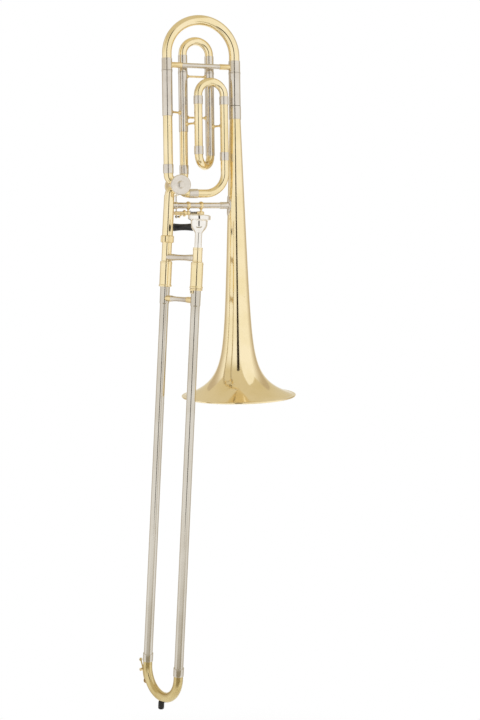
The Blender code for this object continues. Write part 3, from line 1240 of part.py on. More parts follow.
def make_crook(slide):
    """Crook with the water key's nipple and posts, and the stud that the bumper sits on."""
    route = begin((0, 0, CROOK_TOP), DOWN)
    run(route, CROOK_STRAIGHT)
    bend(route, RIGHT, BEND_RADIUS, 180, BOW_STEPS)
    run(route, CROOK_STRAIGHT)
    crook = rod("slide_crook", route, CROOK_RADIUS, BRASS, slide, sides=TUBE_SIDES)
    skin_radius = BEND_RADIUS + CROOK_RADIUS
    pivot = crook_point(KEY_PIVOT_TURN, skin_radius + KEY_PIVOT_HEIGHT)
    for side in (-1, 1):
        cheek = Vector((0, side * (KEY_HUB_HALF + SEAT + KEY_CHEEK / 2), 0))
        plate = drum(KEY_CHEEK_RADIUS, -KEY_CHEEK / 2, KEY_CHEEK / 2)
        turn = (ALONG_Y[0], math.radians(KEY_PIVOT_TURN), 0)
        add(crook, turned("eye", plate, BRASS, slide, pivot + cheek, turn, sides=ROD_SIDES))
        post_end = crook_point(KEY_PIVOT_TURN, skin_radius - KEY_POST_DEPTH)
        add(crook, bar("post", pivot + cheek, post_end + cheek, KEY_POST_WIDTH,
                       KEY_POST_THICKNESS, BRASS, slide))
        foot_top = crook_point(KEY_PIVOT_TURN, skin_radius - KEY_FOOT_DEPTH)
        foot = begin(foot_top + cheek, post_end - foot_top)
        run(foot, KEY_FOOT_LENGTH)
        add(crook, rod("foot", foot, KEY_FOOT_RADIUS, BRASS, slide, sides=FINE_SIDES))
    reach = KEY_HUB_HALF + SEAT + KEY_CHEEK / 2
    add(crook, turned("pin", drum(KEY_PIN_RADIUS, -reach, reach), BRASS, slide, pivot, ALONG_Y,
                      sides=ROD_SIDES))
    low = crook_point(KEY_NIPPLE_TURN, skin_radius - KEY_NIPPLE_ROOT)
    high = crook_point(KEY_NIPPLE_TURN, skin_radius + KEY_NIPPLE_HEIGHT)
    nipple = begin(low, high - low)
    run(nipple, (high - low).length)
    add(crook, rod("nipple", nipple, KEY_NIPPLE_RADIUS, BRASS, slide))
    stud = drum(BUMPER_STUD_RADIUS, -BUMPER_STUD_LENGTH, BUMPER_STUD_ROOT)
    bottom = (BEND_RADIUS, 0, BEND_Z - skin_radius)
    add(crook, turned("stud", stud, BRASS, slide, bottom, sides=ROD_SIDES))
    start, heading = route[0]
    end, last = route[-1]
    bore = [(start - heading * PAST / 2, heading)] + route[1:-1] + [(end + last * PAST / 2, last)]
    cut(crook, rod("bore", bore, CROOK_RADIUS - WALL, BRASS, slide, sides=TUBE_SIDES))
    inside = crook_point(KEY_NIPPLE_TURN, BEND_RADIUS)
    drain = begin(inside, high - low)
    run(drain, CROOK_RADIUS + KEY_NIPPLE_HEIGHT + PAST / 2)
    cut(crook, rod("drain", drain, KEY_NIPPLE_BORE, BRASS, slide, sides=FINE_SIDES))
    return bottom


def make_bumper(slide, bottom):
    """Rubber tip pushed over the crook's stud."""
    bore = BUMPER_STUD_RADIUS + SEAT
    tip = BUMPER_RADIUS - BUMPER_BEVEL
    outline = [(0, -BUMPER_LENGTH), (tip, -BUMPER_LENGTH),
               (BUMPER_RADIUS, -BUMPER_LENGTH + BUMPER_BEVEL_LENGTH),
               (BUMPER_RADIUS, BUMPER_CUFF), (bore, BUMPER_CUFF),
               (bore, -BUMPER_STUD_LENGTH - SEAT), (0, -BUMPER_STUD_LENGTH - SEAT)]
    bumper = turned("bumper", outline, RUBBER, slide, bottom, sides=F_SIDES)
    centre = Vector((BEND_RADIUS, 0, BEND_Z))
    turn = 90 - BUMPER_HUG / 2
    start = crook_point(turn, BEND_RADIUS)
    heading = crook_point(turn + 5, BEND_RADIUS) - crook_point(turn - 5, BEND_RADIUS)
    route = begin(start, heading)
    bend(route, centre - start, BEND_RADIUS, BUMPER_HUG, 6)
    cut(bumper, rod("seat", route, CROOK_RADIUS + SEAT, RUBBER, slide, sides=TUBE_SIDES))


def key_frame():
    """Pivot of the water key, and where the cork and its cup lie above the nipple."""
    skin_radius = BEND_RADIUS + CROOK_RADIUS
    pivot = crook_point(KEY_PIVOT_TURN, skin_radius + KEY_PIVOT_HEIGHT)
    cork = crook_point(KEY_NIPPLE_TURN, skin_radius + KEY_NIPPLE_HEIGHT + SEAT)
    outward = (cork - crook_point(KEY_NIPPLE_TURN, 0)).normalized()
    return pivot, cork - pivot, outward


def make_water_key(axis):
    """Key lever with its cup, the cork in the cup, and the spring round the hub."""
    pivot, cork, outward = key_frame()
    cup_foot = cork + outward * (KEY_CORK_THICKNESS + SEAT)
    cup_top = cup_foot + outward * KEY_CUP_THICKNESS
    hub = drum(KEY_HUB_RADIUS, -KEY_HUB_HALF, KEY_HUB_HALF)
    key = turned("water_key_lever", hub, BRASS, axis, rotation=ALONG_Y, sides=ROD_SIDES)
    away = (pivot - crook_point(0, 0)).normalized()
    along = Vector((-away.z, 0, away.x))
    if along.z < 0:
        along = -along
    finger = along * KEY_FINGER_LENGTH + away * KEY_FINGER_RISE
    arm = through([cup_top - outward * KEY_ARM_SINK, cup_top * 0.6 + away * KEY_ARM_ARCH,
                   away * KEY_ARM_RISE, finger * 0.55, finger])
    add(key, rod("arm", arm, KEY_ARM_RADIUS, BRASS, axis, sides=FINE_SIDES))
    cup = begin(cup_foot, outward)
    run(cup, KEY_CUP_THICKNESS)
    add(key, rod("cup", cup, KEY_CUP_RADIUS, BRASS, axis))
    tip = begin(finger - away * KEY_TIP_THICKNESS / 2, away)
    run(tip, KEY_TIP_THICKNESS)
    add(key, rod("tip", tip, KEY_TIP_RADIUS, BRASS, axis))
    bore = drum(KEY_PIN_RADIUS + SEAT, -PAST, PAST)
    cut(key, turned("bore", bore, BRASS, axis, rotation=ALONG_Y, sides=ROD_SIDES))
    pad = begin(cork, outward)
    run(pad, KEY_CORK_THICKNESS)
    rod("water_key_cork", pad, KEY_CORK_RADIUS, CORK, axis)
    half = (KEY_HUB_HALF - KEY_ARM_RADIUS) / 2
    side = Vector((0, 1, 0))
    coil("water_key_spring", axis, side, side * (KEY_HUB_HALF + KEY_ARM_RADIUS) / 2,
         side.cross(away * 0.8 - along * 0.5), KEY_HUB_RADIUS + SEAT + KEY_SPRING_WIRE,
         2 * (half - KEY_SPRING_WIRE - SEAT), KEY_SPRING_TURNS, KEY_SPRING_WIRE,
         KEY_SPRING_TAILS)


def make_outer_slide(slide, key_axis):
    for side, x in (("neck", 0), ("mouthpiece", SLIDE_SPACING)):
        make_outer_tube(f"outer_tube_{side}", slide, x)
    brace("outer_slide_brace", (0, 0, OUTER_BRACE_Z), (SLIDE_SPACING, 0, OUTER_BRACE_Z),
          OUTER_BRACE_RADIUS, OUTER_BRACE_FOOT_RADIUS, OUTER_BRACE_FOOT, OUTER_SLEEVE_RADIUS,
          OUTER_SLEEVE_RADIUS, NICKEL, slide)
    bottom = make_crook(slide)
    make_bumper(slide, bottom)
    make_water_key(key_axis)


def main():
    clear_scene()
    section = empty("bell_section")
    tuning = empty("main_tuning_slide", section)
    f_slide = empty("f_tuning_slide", section)
    lever = empty("thumb_lever_axis", section, (0, 0, LEVER_Z))
    rotor = empty("rotor_axis", section, (ROTOR_X, 0, ROTOR_Z))
    turn = math.radians(LEVER_TRAVEL / 2)
    link = empty("link_axis", lever, (LINK_X, LINK_Y, -CRANK_THROW * math.sin(turn)))
    tilted = empty("neckpipe_axis", section, (NECK_FOOT_X, 0, NECK_FOOT_Z),
                   (0, math.radians(NECK_TILT), 0))
    slide = empty("slide_section", tilted, rotation=(0, 0, math.radians(SLIDE_TURN)))
    lock = empty("slide_lock_axis", slide, (SLIDE_SPACING, 0, 0))
    mouth = empty("mouthpiece_axis", slide, (SLIDE_SPACING, 0, 0))
    outer = empty("outer_slide", slide)
    key = empty("water_key_axis", outer, key_frame()[0])

    make_bell(section)
    make_tuning_slide(section, tuning)
    make_gooseneck(section)
    make_casing(section)
    boss = make_rotor_plates(section)
    make_rotor(rotor, boss)
    make_f_slide(section, f_slide)
    make_f_wrap(section)
    make_wrap_braces(section)
    make_bell_brace(section)
    make_lever_post("lever_post_left", section, POST_LEFT_X)
    make_lever_post("lever_post_right", section, POST_RIGHT_X)
    make_lever_shaft(lever)
    make_thumb_lever(lever)
    make_touch(lever)
    make_crank(lever)
    make_lever_spring(lever)
    make_link(link)
    make_neckpipe(tilted)
    make_lock_nut(tilted)
    make_inner_slide(slide)
    make_lock_ring(lock)
    make_mouthpiece(mouth)
    make_outer_slide(outer, key)


main()
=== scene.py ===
import math

import bmesh
import bpy
from mathutils import Matrix, Vector


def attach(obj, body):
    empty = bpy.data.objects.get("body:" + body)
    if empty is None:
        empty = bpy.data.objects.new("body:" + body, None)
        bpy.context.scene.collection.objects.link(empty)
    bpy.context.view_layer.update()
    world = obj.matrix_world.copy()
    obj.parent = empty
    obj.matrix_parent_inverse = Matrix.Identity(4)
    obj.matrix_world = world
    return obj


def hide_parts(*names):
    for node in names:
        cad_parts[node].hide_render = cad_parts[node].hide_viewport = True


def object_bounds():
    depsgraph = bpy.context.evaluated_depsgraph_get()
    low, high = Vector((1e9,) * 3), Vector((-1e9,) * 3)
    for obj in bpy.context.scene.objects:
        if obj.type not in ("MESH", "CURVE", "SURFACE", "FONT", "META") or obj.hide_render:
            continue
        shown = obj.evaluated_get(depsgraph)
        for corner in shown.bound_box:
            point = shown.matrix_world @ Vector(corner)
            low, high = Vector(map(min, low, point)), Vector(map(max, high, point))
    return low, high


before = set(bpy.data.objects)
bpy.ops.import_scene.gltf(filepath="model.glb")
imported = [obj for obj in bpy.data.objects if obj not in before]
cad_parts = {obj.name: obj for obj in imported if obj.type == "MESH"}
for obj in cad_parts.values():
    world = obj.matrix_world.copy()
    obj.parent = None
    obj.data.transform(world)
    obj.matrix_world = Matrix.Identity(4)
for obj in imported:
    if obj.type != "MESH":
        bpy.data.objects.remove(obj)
cadBox = [list(corner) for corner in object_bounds()]
print("frame loaded:", len(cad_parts), "nodes")

# Small sizes that many pieces share, in metres
fits = {
    "seat": 0.0003,          # gap between two seated pieces
    "wall": 0.0006,          # wall of every drawn tube
    "lap": 0.010,            # length of a tube inside its socket
    "ferruleWall": 0.0006,
    "bead": 0.0006,          # how far a mouth ring stands proud
    "beadLength": 0.002,
    "edge": 0.00022,         # rounding of small edges
    "legSlimmer": 0.0002,    # how much thinner a slide's leg is than its bow
    "sink": 0.0001,          # how far a shape runs into the one that it meets
    "farEnd": -0.00001,      # in a brace's profile: no distance, counted from its far end
}
up, down = Vector((0, 0, 1)), Vector((0, 0, -1))
right, left = Vector((1, 0, 0)), Vector((-1, 0, 0))
backward = Vector((0, 1, 0))


def hexColour(code):
    parts = [int(code[i:i + 2], 16) / 255 for i in (1, 3, 5)]
    return [c / 12.92 if c <= 0.04045 else ((c + 0.055) / 1.055) ** 2.4 for c in parts] + [1.0]


def addNode(tree, kind, inputs=None, **settings):
    node = tree.nodes.new(kind)
    for key, value in settings.items():
        setattr(node, key, value)
    for key, value in (inputs or {}).items():
        if isinstance(value, bpy.types.NodeSocket):
            tree.links.new(value, node.inputs[key])
        else:
            node.inputs[key].default_value = value
    return node


def emptyTree(owner):
    # a world's or a material's own node tree, cleared
    owner.use_nodes = True
    owner.node_tree.nodes.clear()
    return owner.node_tree


def newObject(name, data):
    made = bpy.data.objects.new(name, data)
    bpy.context.scene.collection.objects.link(made)
    return made


def perMetre(millimetres):
    return 1 / (millimetres / 1000)


# Finishes: what each surface is, and what that gives the eye. Most are bare metal whose grain
# runs no special way; Mm means a real size in millimetres
usualLook = {"grainStretch": (1, 1, 1), "coat": 0.0, "metallic": 1.0}


def surfaceFinish(name, ownLook):
    look = {**usualLook, **ownLook}
    made = bpy.data.materials.new(name)
    made.use_nodes = True
    tree = made.node_tree
    shader = tree.nodes["Principled BSDF"]
    place = addNode(tree, "ShaderNodeTexCoord")
    # broad clouds of tone, as years of handling leave
    clouds = addNode(tree, "ShaderNodeTexNoise", {
        "Vector": place.outputs["Object"], "Scale": perMetre(look["cloudMm"]),
        "Detail": 3.0, "Roughness": 0.55})
    cloudShare = addNode(tree, "ShaderNodeMapRange", {
        "Value": clouds.outputs["Fac"], "From Min": 0.38, "From Max": 0.68})
    tone = addNode(tree, "ShaderNodeMix", {
        "Factor": cloudShare.outputs["Result"], "A": hexColour(look["colour"]),
        "B": hexColour(look["aged"])}, data_type="RGBA")
    # small specks where the finish has failed
    cells = addNode(tree, "ShaderNodeTexVoronoi", {
        "Vector": place.outputs["Object"], "Scale": perMetre(look["speckMm"])})
    patch = addNode(tree, "ShaderNodeTexNoise", {
        "Vector": place.outputs["Object"], "Scale": perMetre(look["speckMm"] * 4),
        "Detail": 1.0})
    patchShare = addNode(tree, "ShaderNodeMapRange", {
        "Value": patch.outputs["Fac"], "From Min": 0.56, "From Max": 0.72,
        "To Max": look["speckSize"]})
    speck = addNode(tree, "ShaderNodeMath", {
        0: cells.outputs["Distance"], 1: patchShare.outputs["Result"]}, operation="LESS_THAN")
    painted = addNode(tree, "ShaderNodeMix", {
        "Factor": speck.outputs[0], "A": tone.outputs["Result"],
        "B": hexColour(look["speck"])}, data_type="RGBA")
    tree.links.new(painted.outputs["Result"], shader.inputs["Base Color"])
    # polishing: finer grain that breaks up the reflections a little
    stretch = addNode(tree, "ShaderNodeMapping", {
        "Vector": place.outputs["Object"], "Scale": look["grainStretch"]})
    grain = addNode(tree, "ShaderNodeTexNoise", {
        "Vector": stretch.outputs["Vector"], "Scale": perMetre(look["grainMm"]),
        "Detail": 2.0})
    blended = addNode(tree, "ShaderNodeMath", {
        0: grain.outputs["Fac"], 1: clouds.outputs["Fac"]}, operation="MULTIPLY")
    rough = addNode(tree, "ShaderNodeMapRange", {
        "Value": blended.outputs[0], "From Min": 0.12, "From Max": 0.42,
        "To Min": look["roughness"][0], "To Max": look["roughness"][1]})
    tree.links.new(rough.outputs["Result"], shader.inputs["Roughness"])
    bump = addNode(tree, "ShaderNodeBump", {
        "Height": grain.outputs["Fac"], "Strength": look["bump"], "Distance": 0.0002})
    tree.links.new(bump.outputs["Normal"], shader.inputs["Normal"])
    shader.inputs["Metallic"].default_value = look["metallic"]
    shader.inputs["Coat Weight"].default_value = look["coat"]
    shader.inputs["Coat Roughness"].default_value = 0.05
    made.diffuse_color = hexColour(look["colour"])
    return made


# Yellow brass under clear lacquer: warm gold, mirror-bright, with a few brown specks
lacqueredBrass = surfaceFinish("lacqueredYellowBrass", {
    "colour": "#f9e8bf", "aged": "#f1deac", "speck": "#9c7a48", "cloudMm": 60, "speckMm": 9,
    "speckSize": 0.10, "grainMm": 1.6, "grainStretch": (1, 1, 0.12),
    "roughness": (0.09, 0.14), "bump": 0.006, "coat": 0.35})
# The crook's brass has lost its lacquer: darker, greener and duller
handledBrass = surfaceFinish("handledBareBrass", {
    "colour": "#d9c692", "aged": "#c8b27a", "speck": "#6f5a34", "cloudMm": 25, "speckMm": 6,
    "speckSize": 0.12, "grainMm": 0.8, "grainStretch": (1, 1, 0.3),
    "roughness": (0.15, 0.26), "bump": 0.03})
# Cast and turned brass fittings: a touch redder than the tubes
castBrass = surfaceFinish("turnedBrassFitting", {
    "colour": "#f3deae", "aged": "#e9d098", "speck": "#86653a", "cloudMm": 18, "speckMm": 7,
    "speckSize": 0.08, "grainMm": 0.5, "roughness": (0.12, 0.20), "bump": 0.02, "coat": 0.2})
# Nickel silver, drawn and buffed: pale warm grey
nickelSilver = surfaceFinish("buffedNickelSilver", {
    "colour": "#e0d9cd", "aged": "#d5ccbf", "speck": "#8d8068", "cloudMm": 40, "speckMm": 8,
    "speckSize": 0.07, "grainMm": 0.7, "grainStretch": (1, 1, 0.12),
    "roughness": (0.11, 0.18), "bump": 0.014})
# Nickel silver faced on a lathe: the same grey with a satin sheen
facedNickel = surfaceFinish("facedNickelSilver", {
    "colour": "#e4ddd2", "aged": "#d9d1c5", "speck": "#8d8068", "cloudMm": 20, "speckMm": 8,
    "speckSize": 0.06, "grainMm": 0.5, "roughness": (0.26, 0.36), "bump": 0.012})
# Nickel silver drawn into the slide's tubes: a little cooler and sharper
slideNickel = surfaceFinish("drawnNickelSlideTube", {
    "colour": "#d8d2c6", "aged": "#cdc5b6", "speck": "#93876f", "cloudMm": 70, "speckMm": 10,
    "speckSize": 0.06, "grainMm": 0.9, "grainStretch": (1, 1, 0.06),
    "roughness": (0.10, 0.17), "bump": 0.012})
# Bright silver plate: almost white, with soft grey clouds
silverPlate = surfaceFinish("polishedSilverPlate", {
    "colour": "#faf7f1", "aged": "#efeae1", "speck": "#a39b8c", "cloudMm": 22, "speckMm": 8,
    "speckSize": 0.05, "grainMm": 0.6, "roughness": (0.06, 0.11), "bump": 0.010})
# Blued spring steel: dark grey with a dull shine
springSteel = surfaceFinish("temperedSpringSteel", {
    "colour": "#6c6761", "aged": "#57524c", "speck": "#4c3d30", "cloudMm": 10, "speckMm": 5,
    "speckSize": 0.08, "grainMm": 0.4, "roughness": (0.25, 0.38), "bump": 0.06})
# Nickel-plated steel: a bright, even grey
platedSteel = surfaceFinish("nickelPlatedSteelRod", {
    "colour": "#d3cec4", "aged": "#c3bcb0", "speck": "#7a7062", "cloudMm": 12, "speckMm": 5,
    "speckSize": 0.06, "grainMm": 0.5, "roughness": (0.16, 0.26), "bump": 0.02})
# Moulded ABS, polished by the thumb: black with a soft sheen
blackPlastic = surfaceFinish("thumbPolishedBlackAbs", {
    "colour": "#131211", "aged": "#2a2725", "speck": "#3a3632", "cloudMm": 9, "speckMm": 4,
    "speckSize": 0.05, "grainMm": 0.4, "roughness": (0.26, 0.42), "bump": 0.06, "metallic": 0.0})
# Moulded rubber: matt black, greyed at its edge
blackRubber = surfaceFinish("matteBlackRubber", {
    "colour": "#191817", "aged": "#24221f", "speck": "#3f3b35", "cloudMm": 6, "speckMm": 3,
    "speckSize": 0.08, "grainMm": 0.3, "roughness": (0.62, 0.82), "bump": 0.20, "metallic": 0.0})
# Cork: tan, with dark grains
cork = surfaceFinish("pressedCork", {
    "colour": "#b58b5a", "aged": "#9c7446", "speck": "#5c3f24", "cloudMm": 2, "speckMm": 1.2,
    "speckSize": 0.30, "grainMm": 0.4, "roughness": (0.80, 0.95), "bump": 0.45, "metallic": 0.0})
print("finishes made")


# Shapes: each helper returns a closed mesh, or points for one
def closedMesh(shape, material):
    bmesh.ops.remove_doubles(shape, verts=shape.verts, dist=1e-7)
    bmesh.ops.recalc_face_normals(shape, faces=shape.faces)
    mesh = bpy.data.meshes.new("shape")
    shape.to_mesh(mesh)
    shape.free()
    mesh.materials.append(material)
    return mesh


def rounded(outline, radius, steps=3):
    # rounds each true corner of an outline; a ring of points if it starts off the axis
    ring = outline[0][0] > 0
    gentleTurn, shareOfSide, touching = 0.3, 0.45, 1e-9
    made = []
    for i, point in enumerate(outline):
        here = Vector(point)
        if not ring and i in (0, len(outline) - 1):
            made.append(tuple(here))
            continue
        before = Vector(outline[i - 1]) - here
        after = Vector(outline[(i + 1) % len(outline)]) - here
        if before.length < touching or after.length < touching:
            continue
        turn = math.pi - before.angle(after)
        if turn < gentleTurn:
            made.append(tuple(here))
            continue
        reach = min(radius, before.length * shareOfSide, after.length * shareOfSide)
        first, last = here + before.normalized() * reach, here + after.normalized() * reach
        for step in range(steps + 1):
            t = step / steps
            made.append(tuple(first * (1 - t) ** 2 + here * 2 * t * (1 - t) + last * t ** 2))
    return made


def turned(outline, material, place=Matrix(), sides=64, edge=fits["edge"], bands=()):
    # spins (radius, height) points round Z; bands are (low, high, material) by height
    outline = rounded(outline, edge) if edge else outline
    shape = bmesh.new()
    points = [shape.verts.new((radius, 0, height)) for radius, height in outline]
    pairs = list(zip(points, points[1:]))
    if outline[0][0] > 0:
        pairs.append((points[-1], points[0]))
    edges = [shape.edges.new(pair) for pair in pairs]
    bmesh.ops.spin(shape, geom=points + edges, cent=(0, 0, 0), axis=(0, 0, 1),
                   angle=2 * math.pi, steps=sides, use_merge=True)
    for face in shape.faces:
        height = face.calc_center_median().z
        for i, band in enumerate(bands):
            if band[0] <= height <= band[1]:
                face.material_index = i + 1
    mesh = closedMesh(shape, material)
    for band in bands:
        mesh.materials.append(band[2])
    mesh.transform(place)
    return mesh


def pipe(outer, bore, low, high):
    return [(outer, high), (outer, low), (bore, low), (bore, high)]


def drum(radius, low, high):
    return [(0, high), (radius, high), (radius, low), (0, low)]


def at(x, y, z, axis=None):
    # a place for a turned shape, with its Z along the given axis
    turn = up.rotation_difference(Vector(axis)).to_matrix().to_4x4() if axis else Matrix()
    return Matrix.Translation((x, y, z)) @ turn


def begin(point, heading):
    return [(Vector(point), Vector(heading).normalized())]


def run(route, length):
    point, heading = route[-1]
    route.append((point + heading * length, heading))


def bend(route, towards, radius, degrees, steps=40):
    start, heading = route[-1]
    side = Vector(towards).normalized()
    for step in range(1, steps + 1):
        turn = math.radians(degrees) * step / steps
        point = start + heading * radius * math.sin(turn) + side * radius * (1 - math.cos(turn))
        route.append((point, heading * math.cos(turn) + side * math.sin(turn)))


def smooth(points, steps):
    # a smooth chain through a few points, as a Catmull-Rom curve
    knots = [Vector(p) for p in points]
    knots = [2 * knots[0] - knots[1]] + knots + [2 * knots[-1] - knots[-2]]
    chain = []
    for i in range(1, len(knots) - 2):
        a, b, c, d = knots[i - 1:i + 3]
        for step in range(steps + (i == len(knots) - 3)):
            t = step / steps
            chain.append(0.5 * (2 * b + (c - a) * t + (2 * a - 5 * b + 4 * c - d) * t ** 2
                                + (3 * b - a - 3 * c + d) * t ** 3))
    return chain


def newTree(name, inputs):
    tree = bpy.data.node_groups.new(name, "GeometryNodeTree")
    tree.interface.new_socket("Geometry", in_out="INPUT", socket_type="NodeSocketGeometry")
    for label, kind in inputs:
        tree.interface.new_socket(label, in_out="INPUT", socket_type="NodeSocket" + kind)
    tree.interface.new_socket("Geometry", in_out="OUTPUT", socket_type="NodeSocketGeometry")
    return tree, addNode(tree, "NodeGroupInput").outputs


def endTree(tree, geometry, material):
    soft = addNode(tree, "GeometryNodeSetShadeSmooth", {"Geometry": geometry})
    real = addNode(tree, "GeometryNodeRealizeInstances", {"Geometry": soft.outputs[0]})
    dressed = addNode(tree, "GeometryNodeSetMaterial", {
        "Geometry": real.outputs[0], "Material": material})
    addNode(tree, "NodeGroupOutput", {0: dressed.outputs[0]})


def grown(tree, values, base=None):
    # runs a Geometry Nodes tree with these inputs and keeps the result as a plain mesh
    holder = newObject("grower", base or bpy.data.meshes.new("seed"))
    modifier = holder.modifiers.new("grow", "NODES")
    modifier.node_group = tree
    for item in tree.interface.items_tree:
        if item.in_out == "INPUT" and item.name in values:
            modifier[item.identifier] = values[item.name]
    bpy.context.view_layer.update()
    graph = bpy.context.evaluated_depsgraph_get()
    mesh = bpy.data.meshes.new_from_object(holder.evaluated_get(graph))
    holder.modifiers.clear()
    bpy.data.objects.remove(holder)
    shape = bmesh.new()
    shape.from_mesh(mesh)
    for face in shape.faces:
        face.material_index = 0
    return closedMesh(shape, values["Material"])


# Round stock that follows a path, for every bow, bend, arm and spring
tubeTree, given = newTree("roundStockAlongPath", [
    ("Start Radius", "Float"), ("End Radius", "Float"), ("Sides", "Int"),
    ("Material", "Material")])
path = addNode(tubeTree, "GeometryNodeMeshToCurve", {"Mesh": given["Geometry"]})
along = addNode(tubeTree, "GeometryNodeSplineParameter")
taper = addNode(tubeTree, "ShaderNodeMapRange", {
    "Value": along.outputs["Factor"], "To Min": given["Start Radius"],
    "To Max": given["End Radius"]})
ring = addNode(tubeTree, "GeometryNodeCurvePrimitiveCircle", {
    "Resolution": given["Sides"], "Radius": 1.0})
stock = addNode(tubeTree, "GeometryNodeCurveToMesh", {
    "Curve": path.outputs["Curve"], "Profile Curve": ring.outputs["Curve"],
    "Scale": taper.outputs["Result"], "Fill Caps": True})
endTree(tubeTree, stock.outputs["Mesh"], given["Material"])


def swept(points, radius, material, sides=48):
    points = [p[0] if isinstance(p, tuple) and isinstance(p[0], Vector) else p for p in points]
    start, end = radius if isinstance(radius, tuple) else (radius, radius)
    line = bpy.data.meshes.new("path")
    edges = [(i, i + 1) for i in range(len(points) - 1)]
    line.from_pydata([tuple(p) for p in points], edges, [])
    return grown(tubeTree, {"Start Radius": start, "End Radius": end, "Sides": sides,
                            "Material": material}, line)


def box(low, high, material, place, edge):
    shape = bmesh.new()
    size = Vector(high) - Vector(low)
    middle = (Vector(high) + Vector(low)) / 2
    bmesh.ops.create_cube(shape, size=1, matrix=Matrix.LocRotScale(middle, None, size))
    bmesh.ops.bevel(shape, geom=shape.edges[:], offset=min(edge, min(size) * 0.4), segments=3,
                    profile=0.5, affect="EDGES")
    mesh = closedMesh(shape, material)
    mesh.transform(place)
    return mesh


def piece(name, parts, body, nodes, sharp=38, place=None):
    # one object from several closed shapes, riding a body and standing for its CAD nodes
    whole = bmesh.new()
    finishes = []
    for part in parts:
        if place:
            part.transform(place)
        first = len(whole.faces)
        whole.from_mesh(part)
        whole.faces.ensure_lookup_table()
        for face in whole.faces[first:]:
            finish = part.materials[face.material_index]
            if finish not in finishes:
                finishes.append(finish)
            face.material_index = finishes.index(finish)
    mesh = bpy.data.meshes.new(name)
    whole.to_mesh(mesh)
    whole.free()
    for finish in finishes:
        mesh.materials.append(finish)
    mesh.shade_smooth()
    mesh.set_sharp_from_angle(angle=math.radians(sharp))
    made = newObject(name, mesh)
    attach(made, body)
    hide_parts(*nodes)


# Bell: a flare turned about its axis, with a rolled rim
bell = {
    "Mouth Radius": 0.1049, "Rim Bead": 0.0017, "Stem Radius": 0.0099, "Stem Taper": 0.034,
    "Ferrule Bottom": 0.508, "Stem Top": 0.5265, "Flare Length": 0.100, "Flare Power": 4.2,
    "Wall": 0.0006, "Sides": 144, "Rows": 201,
}


def bellRadius(height):
    above = height - bell["Rim Bead"]
    stem = bell["Stem Radius"] + bell["Stem Taper"] * (bell["Ferrule Bottom"] - height)
    mouthStem = stem + bell["Stem Taper"] * above
    flare = bell["Mouth Radius"] - bell["Rim Bead"] - mouthStem
    share = bell["Flare Length"] / (bell["Flare Length"] + above)
    return stem + flare * share ** bell["Flare Power"]


bellTree, given = newTree("bellOfRevolution", [
    (label, "Int" if label in ("Sides", "Rows") else "Float") for label in bell]
    + [("Material", "Material")])

# Shares of the grid's rows: down the outer skin, round the rolled rim and up the inner skin,
# where the last row closes the wall at the stem's top
bellRows = {
    "outerEnd": 0.47, "innerStart": 0.53, "innerRun": 0.465, "lastRow": 0.998, "hair": 0.001,
    "leastClimb": 0.063, "crowding": 2.2, "rollFrom": 135, "rollBy": -305,
}
outerEnd, innerStart = bellRows["outerEnd"], bellRows["innerStart"]
hair, leastClimb = bellRows["hair"], bellRows["leastClimb"]
rollPerShare = math.radians(bellRows["rollBy"]) / (innerStart - outerEnd)
